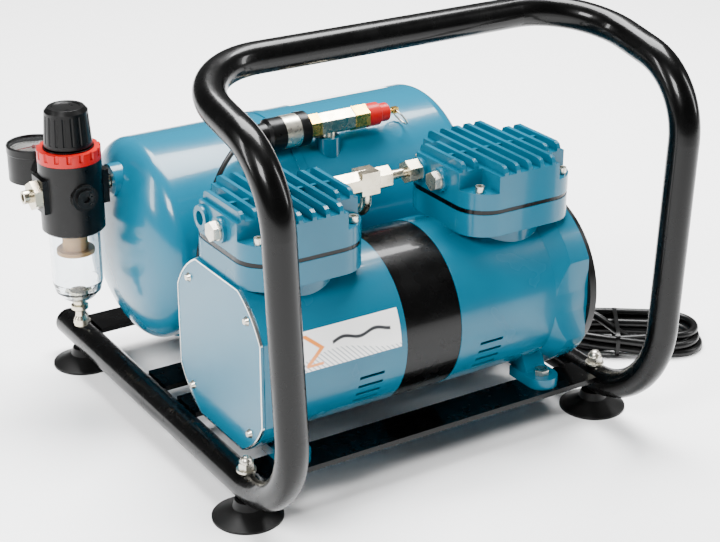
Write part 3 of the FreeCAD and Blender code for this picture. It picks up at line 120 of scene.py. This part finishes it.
def upright(axis):
    """Two directions square to an axis and to each other."""
    axis = np.asarray(axis, float) / np.linalg.norm(axis)
    across = np.cross(axis, Z if abs(axis[2]) < 0.9 else X)
    across /= np.linalg.norm(across)
    return axis, across, np.cross(axis, across)


def lathe(name, profile, middle, axis=Z, ring=False, steps=96, body=BODY, smooth=35.0):
    """A profile of (radius, height) pairs turned round an axis: middle + radius (across cos + beside sin)
    + height axis. A ring's profile closes on itself; any other is capped at both ends."""
    axis, across, beside = upright(axis)
    turn = np.linspace(0, 2 * math.pi, steps, endpoint=False)
    circle = np.cos(turn)[:, None] * across + np.sin(turn)[:, None] * beside
    radius, height = np.asarray(profile, float).T
    points = np.asarray(middle, float) + radius[:, None, None] * circle + height[:, None, None] * axis
    return skin(name, points, wrap_u=ring, wrap_v=True, close=not ring, body=body, smooth=smooth)


def swept(name, path, section, up, body=BODY):
    """Carries a section of (side, rise) pairs round a closed path lying square to up:
    point = path + side * (along x up) + rise * up, with along from the points either side."""
    path = np.asarray(path, float)
    along = np.roll(path, -1, 0) - np.roll(path, 1, 0)
    along /= np.linalg.norm(along, axis=1)[:, None]
    side, rise = np.asarray(section, float).T
    out = np.cross(along, up)
    points = path[:, None] + side[:, None] * out[:, None] + rise[:, None] * np.asarray(up, float)
    return skin(name, points, wrap_u=True, wrap_v=True, body=body)


def bricks(name, middles, turns, size, body=BODY):
    """Small blocks on a plane square to Z: corner = middle + a turn of half the size either way."""
    half = np.asarray(size, float) / 2
    signs = np.array([(a, b, c) for a in (-1, 1) for b in (-1, 1) for c in (-1, 1)], float) * half
    cos, sin = np.cos(turns)[:, None], np.sin(turns)[:, None]
    x = signs[:, 0] * cos - signs[:, 1] * sin
    y = signs[:, 0] * sin + signs[:, 1] * cos
    corners = np.asarray(middles)[:, None] + np.stack([x, y, np.broadcast_to(signs[:, 2], x.shape)], -1)
    sides = np.array([(0, 1, 3, 2), (4, 6, 7, 5), (0, 4, 5, 1), (2, 3, 7, 6), (0, 2, 6, 4), (1, 5, 7, 3)])
    faces = (sides + 8 * np.arange(len(corners))[:, None, None]).reshape(-1, 4)
    mesh = bpy.data.meshes.new(name)
    mesh.from_pydata(placed(corners.reshape(-1, 3)).tolist(), [], faces.tolist())
    return finished(name, mesh, body)


LABEL_PROUD, LABEL_SUNK = 0.12, 0.1


def label_on_drum(name, axis_point, radius, span, arc, steps=(30, 24)):
    """A label laid on a drum along X: (x, axis_y + r cos a, axis_z + r sin a) over span and arc, given a
    thickness by a second layer underneath. Its UV map runs 0 to 1 along the span and up the arc."""
    along = np.linspace(*span, steps[0])
    angle = np.radians(np.linspace(*arc, steps[1]))
    rows = []
    for reach in (radius + LABEL_PROUD, radius - LABEL_SUNK):
        x, turn = np.meshgrid(along, angle, indexing="ij")
        rows.append(np.stack([x, axis_point[0] + reach * np.cos(turn),
                              axis_point[1] + reach * np.sin(turn)], -1))
    outer, inner = rows
    loop = np.concatenate([outer, inner[:, ::-1]], axis=1)
    piece = skin(name, loop, wrap_v=True, close=True)
    share_x = np.repeat((along - span[0]) / (span[1] - span[0]), loop.shape[1])
    ramp = np.linspace(0, 1, steps[1])
    share_a = np.tile(np.concatenate([ramp, ramp[::-1]]), steps[0])
    mesh = piece.data
    corner = np.empty(len(mesh.loops), np.int32)
    mesh.loops.foreach_get("vertex_index", corner)
    layer = mesh.uv_layers.new(name="print")
    layer.data.foreach_set("uv", np.stack([share_x, share_a], -1)[corner].astype(np.float32).ravel())
    return piece


# ---------------------------------------------------------------- power cord
CORD_RADIUS = 3.2
LEAD_POINTS = [
    (95, 189.5, 58.9), (96.8, 199, 52.2), (102, 203.6, 43.5), (109, 204.2, 33), (117.5, 203.6, 22),
    (128, 203.8, 12), (140.5, 203.6, 5), (154, 202, 3.5), (170, 197, 3.6), (187.5, 186.8, 3.5),
    (203.0, 175.5, 3.5)]
HANK_MIDDLE = np.array([247.0, 136.0, 0.0])
HANK_TURN = math.radians(-36.0)
LAYERS = (3.3, 9.8, 16.3)
OUTER, INNER = 25.4, 18.3
BEND_START = 32
BEND_SPOTS = np.radians([90, 45, 0, -45, -90])


def hank_frame(points):
    """Points given along, across and above the hank, as drawing points."""
    points = np.asarray(points, float)
    cos, sin = math.cos(HANK_TURN), math.sin(HANK_TURN)
    turned = np.stack([points[:, 0] * cos - points[:, 1] * sin, points[:, 0] * sin + points[:, 1] * cos,
                       points[:, 2]], -1)
    return turned + HANK_MIDDLE


def fold(end, lanes, height, reach=0.0):
    """Five points round one end: along = end * (BEND_START + reach + lane cos), across = lane sin, front
    to back."""
    lanes = np.linspace(*lanes, len(BEND_SPOTS))
    spots = BEND_SPOTS if end > 0 else -BEND_SPOTS
    return [(end * (BEND_START + reach + lane * math.cos(spot)), lane * math.sin(spot), height)
            for lane, spot in zip(lanes, spots)]


def hank_points():
    """Outer turns climb one layer a turn along the near side, then the cord steps inwards at the top and
    the inner turns go down again. The last run rises through the middle and leaves over the end."""
    low, mid, top = LAYERS
    points = [(-50, 18.5, 3.4), (-34, 25.0, 3.4)]
    points += [(0, OUTER, low), *fold(1, (OUTER, OUTER), low, 0), (0, -OUTER, (low + mid) / 2)]
    points += fold(-1, (OUTER, OUTER), mid, -1)
    points += [(0, OUTER, mid), *fold(1, (OUTER, OUTER), mid, -3), (0, -OUTER, (mid + top) / 2)]
    points += fold(-1, (OUTER, OUTER), top, 0)
    points += [(0, OUTER, top), *fold(1, (OUTER, INNER), top, -1), (0, -INNER, (mid + top) / 2)]
    points += fold(-1, (INNER, INNER), mid, 0)
    points += [(0, INNER, mid), *fold(1, (INNER, INNER), mid, -2), (0, -INNER, (low + mid) / 2)]
    points += fold(-1, (INNER, INNER), low, 0)
    points += [(0, INNER, low), *fold(1, (INNER, INNER * 0.9), low, -1)]
    points += [(14, -12, 3.6), (-4, -7, 8.0), (-20, -1.5, 17.5), (-33, 6.0, 23.6), (-46, 15.5, 23.6)]
    return points


def make_cord(plug_start):
    points = placed(np.vstack([LEAD_POINTS, hank_frame(hank_points()), plug_start]))
    curve = bpy.data.curves.new("power_cord", "CURVE")
    curve.dimensions = "3D"
    spline = curve.splines.new("NURBS")
    spline.points.add(len(points) - 1)
    spline.points.foreach_set("co", np.column_stack([points, np.ones(len(points))]).ravel())
    spline.points.foreach_set("radius", np.full(len(points), CORD_RADIUS * MM))
    spline.order_u = 3
    spline.use_endpoint_u = True
    curve.resolution_u = 10
    curve.bevel_depth = 1.0  # the points' radius carries the thickness, which keeps the curve's box true
    curve.bevel_resolution = 5
    curve.use_fill_caps = True
    cord = bpy.data.objects.new("power_cord", curve)
    scene.collection.objects.link(cord)
    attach(cord, BODY)
    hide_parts("power_cord_lead", "power_cord_hank")
    return cord


PLUG_START = np.array([213.5, 189.5, 21.8])
PLUG_AHEAD = np.array([-0.357, 0.929, -0.1])
PIN_BASE, PIN_SPREAD = 41.8, 9.5


def make_plug():
    """Moulded plug: ribbed relief, waisted grip and a flat round face, with two pins."""
    grip = [(4.0, 0), (4.6, 1), (4.6, 3), (4.1, 3.6), (4.9, 4.6), (4.9, 6.6), (4.4, 7.2), (5.4, 8.2),
            (5.4, 10.2), (4.9, 10.8), (6.2, 12), (6.6, 16), (9.5, 18.2), (12.6, 21), (13.6, 24), (14.6, 27),
            (16.6, 29.4), (17.0, 31), (17.0, 41.2), (16.4, 42), (0.4, 42)]
    plug = lathe("mains_plug_moulding", grip, PLUG_START, PLUG_AHEAD, steps=64)
    axis, across, beside = upright(PLUG_AHEAD)
    level = across if abs(across[2]) < abs(beside[2]) else beside
    pins = []
    for way in (-1, 1):
        pin = lathe("plug_pin_left" if way < 0 else "plug_pin_right",
                    [(2.4, 0), (2.4, 17.5), (1.8, 18.8), (0.3, 19)],
                    PLUG_START + axis * PIN_BASE + level * way * PIN_SPREAD, axis, steps=24)
        pins.append(pin)
    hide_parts("mains_plug")
    return plug, pins


TIE_PLACE, TIE_HALF_WIDTH, TIE_MIDDLE, TIE_HALF_HEIGHT = -13.0, 29.3, 10.4, 10.2
TIE_SQUARENESS, TIE_STEPS = 0.35, 72


def make_tie():
    """A flat tie round the hank, on a superellipse that hugs the turns: across = half width * cos and
    above = middle + half height * sin, each with its size raised to TIE_SQUARENESS."""
    turn = np.linspace(0, 2 * math.pi, TIE_STEPS, endpoint=False)
    across = TIE_HALF_WIDTH * np.sign(np.cos(turn)) * np.abs(np.cos(turn)) ** TIE_SQUARENESS
    above = TIE_MIDDLE + TIE_HALF_HEIGHT * np.sign(np.sin(turn)) * np.abs(np.sin(turn)) ** TIE_SQUARENESS
    path = hank_frame(np.stack([np.full(TIE_STEPS, TIE_PLACE), across, above], -1))
    lengthways = np.array([math.cos(HANK_TURN), math.sin(HANK_TURN), 0])
    return swept("hank_tie", path, [(-0.4, -1.6), (0.4, -1.6), (0.4, 1.6), (-0.4, 1.6)], lengthways)


plug, plug_pins = make_plug()
hank_tie = make_tie()
lead_start = np.array(LEAD_POINTS[0], float)
lead_ahead = np.array(LEAD_POINTS[1], float) - lead_start
relief = lathe("cord_relief_sleeve", [
    (6.6, -1), (6.6, 1.0), (5.9, 2), (6.0, 4), (5.2, 4.6), (5.2, 5.4), (5.6, 6), (5.6, 8), (4.9, 8.6),
    (4.9, 9.4), (5.2, 10), (5.0, 12.4), (4.4, 13.4), (3.3, 13.6)], lead_start, lead_ahead, steps=48)
cord = make_cord(PLUG_START + PLUG_AHEAD * 3)


# ---------------------------------------------------------------- trim on the machine
MOTOR = np.array([-2.0, 124.0, 97.5])
TANK_AXIS = (286.25, 123.0)
GAUGE = np.array([-175.0, 358.0, 160.5])
CASE_RADIUS, TANK_RADIUS = 62.0, 78.5
COVER_HALF, COVER_ROUND = 60.5, 68.0
LENS_RISE, DIAL_RISE, TICK_RING, TICK_COUNT = 26.1, 22.87, 16.4, 28
TICK_SIZE = (2.2, 0.5, 0.12)


def make_cover_rim():
    """Cut edge of the left cover: a square of half COVER_HALF whose corners a circle cuts, so each point
    lies at the smaller of COVER_HALF / max(|cos|, |sin|) and COVER_ROUND from the middle, plus the
    section's own offset."""
    turn = np.linspace(0, 2 * math.pi, 240, endpoint=False)
    reach = np.minimum(COVER_HALF / np.maximum(np.abs(np.cos(turn)), np.abs(np.sin(turn))), COVER_ROUND)
    proud, along = np.array([(-0.8, -141.0), (0.3, -141.0), (0.3, -138.7), (-0.8, -138.7)]).T
    out = reach + proud[:, None]
    points = np.stack([np.broadcast_to(along[:, None], out.shape), MOTOR[1] + out * np.cos(turn),
                       MOTOR[2] + out * np.sin(turn)], -1)
    return skin("cover_rim", points, wrap_u=True, wrap_v=True)


def make_trim():
    trim = {}
    trim["case_label"] = label_on_drum("case_label", (MOTOR[1], MOTOR[2]), CASE_RADIUS, (-107.5, -30),
                                       (177, 151))
    trim["tank_label"] = label_on_drum("tank_label", TANK_AXIS, TANK_RADIUS, (19, 111), (80, 56))
    trim["cover_rim"] = make_cover_rim()
    trim["switch_band"] = lathe("switch_band", [(12.3, 0), (12.75, 0), (12.75, 16), (12.3, 16)],
                                (-24, 240, 203.5), X, ring=True, steps=72)
    lens_low = GAUGE + Z * LENS_RISE
    glass = [(18.8, 0), (18.8, 0.9), (15, 1.35), (10, 1.65), (5, 1.8), (0.3, 1.85), (0.3, 0.9), (10, 0.7),
             (17, 0.1)]
    trim["gauge_lens"] = lathe("gauge_lens", glass, lens_low, steps=72)
    lip = [(20.5, -4.5), (20.9, -4.0), (20.9, 1.2), (20.2, 2.0), (19.2, 2.0), (18.7, 1.2), (18.7, 0.4),
           (19.5, -4.5)]
    trim["gauge_bezel"] = lathe("gauge_bezel", lip, lens_low, ring=True, steps=96)
    swing = np.radians(np.linspace(-135, 135, TICK_COUNT))
    out = np.stack([-np.cos(swing), np.sin(swing), np.zeros(TICK_COUNT)], -1)
    tick_middles = GAUGE + Z * DIAL_RISE + out * TICK_RING
    trim["dial_ticks"] = bricks("dial_ticks", tick_middles, np.arctan2(out[:, 1], out[:, 0]), TICK_SIZE)
    return trim


trim = make_trim()


# ---------------------------------------------------------------- materials
def linear(code):
    """An sRGB hex value as the linear colour that a shader takes."""
    parts = [int(code[i:i + 2], 16) / 255 for i in (0, 2, 4)]
    return (*[part / 12.92 if part <= 0.04045 else ((part + 0.055) / 1.055) ** 2.4 for part in parts], 1.0)


def add(tree, kind, inputs=None, **settings):
    """Adds a node with its settings; each input is a constant or the output socket to link from."""
    made = tree.nodes.new(kind)
    for prop, setting in settings.items():
        setattr(made, prop, setting)
    for socket, source in (inputs or {}).items():
        if isinstance(source, bpy.types.NodeSocket):
            tree.links.new(source, made.inputs[socket])
        else:
            made.inputs[socket].default_value = source
    return made


CLOUD_GRAINS = 14  # slow drifts of colour and gloss are this many grains across


def surface(name, colour, rough, grain_mm=None, relief_mm=0.0, spread=0.0, shade=None, edge_mm=0.0,
            **sockets):
    """A Principled surface. grain_mm is the pattern's size on the real thing and relief_mm its height;
    spread is how far the roughness wanders and shade a second colour that the first one drifts to;
    edge_mm rounds the look of edges. Other sockets are set by name, with _ for each space."""
    material = bpy.data.materials.new(name)
    material.use_nodes = True
    tree = material.node_tree
    shader = tree.nodes["Principled BSDF"]
    shader.inputs["Base Color"].default_value = linear(colour)
    shader.inputs["Roughness"].default_value = rough
    for socket, number in sockets.items():
        shader.inputs[socket.replace("_", " ")].default_value = number
    normal = None
    if edge_mm:
        normal = add(tree, "ShaderNodeBevel", {"Radius": edge_mm * MM}, samples=4).outputs["Normal"]
    if grain_mm:
        place = add(tree, "ShaderNodeTexCoord").outputs["Object"]
        grain = add(tree, "ShaderNodeTexNoise", {
            "Vector": place, "Scale": 1 / (grain_mm * MM), "Detail": 3.0, "Roughness": 0.55})
        bump = add(tree, "ShaderNodeBump", {
            "Height": grain.outputs["Fac"], "Strength": 1.0, "Distance": relief_mm * MM})
        if normal:
            tree.links.new(normal, bump.inputs["Normal"])
        normal = bump.outputs["Normal"]
        clouds = add(tree, "ShaderNodeTexNoise", {
            "Vector": place, "Scale": 1 / (grain_mm * CLOUD_GRAINS * MM), "Detail": 2.0}).outputs["Fac"]
        if spread:
            wander = add(tree, "ShaderNodeMapRange", {
                "Value": clouds, "From Min": 0.3, "From Max": 0.7, "To Min": rough - spread,
                "To Max": rough + spread}).outputs["Result"]
            tree.links.new(wander, shader.inputs["Roughness"])
        if shade:
            mixed = add(tree, "ShaderNodeMix", {0: clouds, 6: linear(colour), 7: linear(shade)},
                        data_type="RGBA").outputs[2]
            tree.links.new(mixed, shader.inputs["Base Color"])
    if normal:
        tree.links.new(normal, shader.inputs["Normal"])
    return material


# Gloss enamel over a die casting: a wet teal coat that pulls thin at edges over slight casting ripple.
CAST_ENAMEL = surface("gloss_enamel_on_casting", "005c74", 0.24, 2.2, 0.035, 0.04, "00526a", 0.9,
                      Coat_Weight=0.2, Coat_Roughness=0.05, Specular_IOR_Level=0.25)
# Gloss enamel sprayed on rolled steel: the same teal, with the fine orange peel of a sprayed coat.
SHEET_ENAMEL = surface("gloss_enamel_on_steel", "00607a", 0.22, 3.5, 0.03, 0.04, "005870", 0.6,
                       Coat_Weight=0.3, Coat_Roughness=0.04, Specular_IOR_Level=0.25)
# Black powder coat on steel tube: deep black, half gloss, a fine pebble that softens highlights.
POWDER_COAT = surface("black_powder_coat", "020202", 0.26, 0.9, 0.008, 0.04, "030303",
                      Specular_IOR_Level=0.12, Coat_Weight=0.2, Coat_Roughness=0.06)
# Bright zinc plate on steel fasteners: pale, slightly warm metal with fine plating grain.
ZINC_PLATE = surface("bright_zinc_plate", "cfccc2", 0.3, 0.35, 0.006, 0.06, "bdb8a8", 0.25, Metallic=1.0)
# Turned brass: yellow metal with fine tool marks.
BRASS = surface("turned_brass", "d9b45f", 0.26, 0.4, 0.006, 0.06, "c79f4e", 0.25, Metallic=1.0)
# Nickel plate on brass fittings: warm silver, slightly dull.
NICKEL = surface("nickel_plated_brass", "cfc7b4", 0.27, 0.5, 0.006, 0.05, "c2b89f", 0.25, Metallic=1.0)
# Red ABS moulding: clear bright red with a soft gloss.
RED_MOULDING = surface("red_abs_moulding", "b40000", 0.34, 0.6, 0.006, 0.04, "a60000", 0.3,
                       Specular_IOR_Level=0.3)
# Black ABS: spark-eroded mould texture, half matte.
BLACK_MOULDING = surface("black_abs_moulding", "040404", 0.32, 0.5, 0.012, 0.05, "060606", 0.35,
                         Specular_IOR_Level=0.22)
# Moulded rubber: dull black with a slight bloom.
RUBBER = surface("moulded_rubber", "060606", 0.45, 0.8, 0.01, 0.06, "090909", Specular_IOR_Level=0.22)
# PVC cord sheath: soft black with a low sheen from extrusion.
CORD_SHEATH = surface("pvc_cord_sheath", "050505", 0.34, 1.6, 0.02, 0.05, "080808", Specular_IOR_Level=0.22)
# Clear polycarbonate bowl: thin clear moulding with faint flow lines.
CLEAR_BOWL = surface("clear_polycarbonate", "f4f8fa", 0.04, 9.0, 0.02, Transmission_Weight=1.0, IOR=1.45)
# Gauge glass: flat clear glass.
GAUGE_GLASS = surface("gauge_glass", "ffffff", 0.02, Transmission_Weight=1.0, IOR=1.46)
# Sintered bronze, as in the filter element: tan and porous.
FILTER_STONE = surface("sintered_bronze_filter", "c99a58", 0.6, 0.5, 0.08, 0.05, "b98748", Metallic=0.3)
# Printed dial: white lacquer on sheet metal.
DIAL_WHITE = surface("dial_lacquer", "eeeeea", 0.45, 1.0, 0.004)
# Dial ink: flat black.
DIAL_INK = surface("dial_ink", "101010", 0.5)
# Lacquered copper wire: orange brown, glossy.
COPPER = surface("lacquered_copper_wire", "a8592c", 0.35, 0.9, 0.1, 0.05, "8f4720", Metallic=0.9)
# Machined aluminium: pale grey with a fine lathe grain.
ALLOY = surface("machined_aluminium", "c9cacc", 0.33, 0.5, 0.006, 0.05, "b9babd", Metallic=1.0)
# Bare sheet edge: bright cut steel.
BARE_EDGE = surface("cut_sheet_edge", "dcdcd8", 0.25, 0.5, 0.01, 0.05, Metallic=1.0)


def rise(tree, value, start, end):
    """0 before start, 1 after end, and a straight ramp between them."""
    ramp = add(tree, "ShaderNodeMapRange", {"Value": value, "From Min": start, "From Max": end})
    return ramp.outputs["Result"]


def make_case_label():
    """Printed vinyl under a glossy film: white, with grey hatching low down, an orange chevron and one
    dark wave, each a mask worked out from the label's own UV map."""
    white = "f4f4f2"
    material = surface("printed_vinyl_label", white, 0.3, Coat_Weight=0.6, Coat_Roughness=0.08)
    tree = material.node_tree
    shader = tree.nodes["Principled BSDF"]

    def reckon(kind, first, second=0.0):
        return add(tree, "ShaderNodeMath", {0: first, 1: second}, operation=kind).outputs[0]

    def bounded(value, low, high, soft=0.006):
        """1 between low and high, 0 outside, with soft edges."""
        return reckon("MULTIPLY", rise(tree, value, low - soft, low + soft),
                      reckon("SUBTRACT", 1.0, rise(tree, value, high - soft, high + soft)))

    spot = add(tree, "ShaderNodeUVMap", uv_map="print").outputs["UV"]
    split = add(tree, "ShaderNodeSeparateXYZ", {0: spot})
    across, up = split.outputs[0], split.outputs[1]
    slant = reckon("ADD", across, reckon("MULTIPLY", up, 0.35))
    hatch = bounded(reckon("FRACT", reckon("MULTIPLY", slant, 22.0)), 0.3, 0.62, 0.12)
    hill = reckon("ADD", 0.26, reckon("MULTIPLY", reckon("SINE", reckon("MULTIPLY", across, 5.0)), 0.16))
    over_hill = rise(tree, reckon("SUBTRACT", up, hill), -0.01, 0.02)
    hatch = reckon("MULTIPLY", hatch, reckon("SUBTRACT", 1.0, over_hill))
    wave = reckon("ADD", 0.6, reckon("MULTIPLY", reckon("SINE", reckon("MULTIPLY", across, 19.0)), 0.05))
    wave_line = bounded(reckon("SUBTRACT", up, wave), -0.045, 0.045, 0.015)
    wave_line = reckon("MULTIPLY", wave_line, bounded(across, 0.3, 0.9))
    tip = reckon("ADD", across, reckon("MULTIPLY", reckon("ABSOLUTE", reckon("SUBTRACT", up, 0.52)), 0.42))
    chevron = reckon("MULTIPLY", bounded(tip, 0.16, 0.215, 0.008), bounded(up, 0.16, 0.9))
    underline = reckon("MULTIPLY", bounded(across, 0.02, 0.19), bounded(up, 0.1, 0.17))
    chevron = reckon("MAXIMUM", chevron, underline)
    under = linear(white)
    for mask, ink in ((hatch, "9aa0a5"), (wave_line, "26282b"), (chevron, "e8862a")):
        under = add(tree, "ShaderNodeMix", {0: mask, 6: under, 7: linear(ink)}, data_type="RGBA").outputs[2]
    tree.links.new(under, shader.inputs["Base Color"])
    return material


def make_plain_label():
    """Paper data label: white with rows of grey marks, no words."""
    white = "f2f2ef"
    material = surface("paper_data_label", white, 0.5)
    tree = material.node_tree
    spot = add(tree, "ShaderNodeUVMap", uv_map="print").outputs["UV"]
    marks = add(tree, "ShaderNodeTexBrick", {
        "Vector": spot, "Color1": linear(white), "Color2": linear(white), "Mortar": linear("a9adb0"),
        "Scale": 1.0, "Mortar Size": 0.012, "Brick Width": 0.5, "Row Height": 0.2}).outputs["Color"]
    tree.links.new(marks, tree.nodes["Principled BSDF"].inputs["Base Color"])
    return material


SLOT_FINISH = {
    "black_paint": POWDER_COAT, "teal_enamel": SHEET_ENAMEL, "teal_casting": CAST_ENAMEL,
    "black_plastic": BLACK_MOULDING, "rubber": RUBBER, "zinc_steel": ZINC_PLATE, "brass": BRASS,
    "nickel_brass": NICKEL, "red_plastic": RED_MOULDING, "clear_plastic": CLEAR_BOWL, "copper": COPPER,
    "plain_alloy": ALLOY, "white_plastic": FILTER_STONE}
NODE_FINISH = {
    "gauge_dial": DIAL_WHITE, "switch_lead": CORD_SHEATH}


def paint(piece, material, slot=None):
    piece.data.materials.clear()
    piece.data.materials.append(material)


def paint_everything():
    for row in frame["record"]["subparts"]:
        name, slot = row["node"], row["material_slot"]
        paint(frame["nodes"][name], NODE_FINISH.get(name, SLOT_FINISH[slot]))
    paint(cord, CORD_SHEATH)
    paint(plug, BLACK_MOULDING, "rubber")
    for pin in plug_pins:
        paint(pin, BRASS, "brass")
    paint(relief, RUBBER, "rubber")
    paint(hank_tie, BLACK_MOULDING, "black_plastic")
    finishes = {
        "case_label": (make_case_label(), "white_plastic"),
        "tank_label": (make_plain_label(), "white_plastic"),
        "cover_rim": (BARE_EDGE, "zinc_steel"), "switch_band": (ZINC_PLATE, "zinc_steel"),
        "gauge_lens": (GAUGE_GLASS, "clear_plastic"), "gauge_bezel": (BLACK_MOULDING, "black_plastic"),
        "dial_ticks": (DIAL_INK, "black_plastic")}
    for name, piece in trim.items():
        paint(piece, *finishes[name])


paint_everything()


# ---------------------------------------------------------------- floor and light
FLOOR_HALF, ROOM_STRENGTH = 6.0, 0.16


def make_studio():
    """A pale floor that runs on past the view, a soft light from the front left, a long strip on either
    side and a wide light overhead, in an even pale room."""
    mesh = bpy.data.meshes.new("studio_floor")
    corners = [(x * FLOOR_HALF, y * FLOOR_HALF, 0) for x, y in ((-1, -1), (1, -1), (1, 1), (-1, 1))]
    mesh.from_pydata(corners, [], [(0, 1, 2, 3)])
    floor = bpy.data.objects.new("studio_floor", mesh)
    scene.collection.objects.link(floor)
    floor.data.materials.append(surface("painted_studio_floor", "ffffff", 0.7))
    lights = [
        ("front_softbox", (-1.5, -1.0, 1.7), (0, 0, 0.1), (0.7, 0.7), 75.0),
        ("left_strip", (-1.7, 0.5, 0.9), (0, 0, 0.15), (0.2, 1.1), 22.0),
        ("overhead", (0.5, 0.6, 2.2), (0, 0, 0), (1.6, 1.2), 230.0),
        ("right_strip", (1.6, -0.9, 1.0), (0, 0, 0.12), (0.25, 1.2), 22.0)]
    for name, place, target, size, power in lights:
        data = bpy.data.lights.new(name, "AREA")
        data.shape = "RECTANGLE"
        data.size, data.size_y = size
        data.energy = power
        lamp = bpy.data.objects.new(name, data)
        scene.collection.objects.link(lamp)
        toward = np.asarray(target, float) - place
        back = -toward / np.linalg.norm(toward)
        flat = np.cross(Z, back)
        flat /= np.linalg.norm(flat)
        lamp.matrix_world = Matrix.Translation(place) @ Matrix(
            np.column_stack([flat, np.cross(back, flat), back]).tolist()).to_4x4()
    world = bpy.data.worlds.new("studio_room")
    world.use_nodes = True
    world.node_tree.nodes["Background"].inputs["Color"].default_value = linear("f4f6f8")
    world.node_tree.nodes["Background"].inputs["Strength"].default_value = ROOM_STRENGTH
    scene.world = world


make_studio()

bpy.context.view_layer.update()
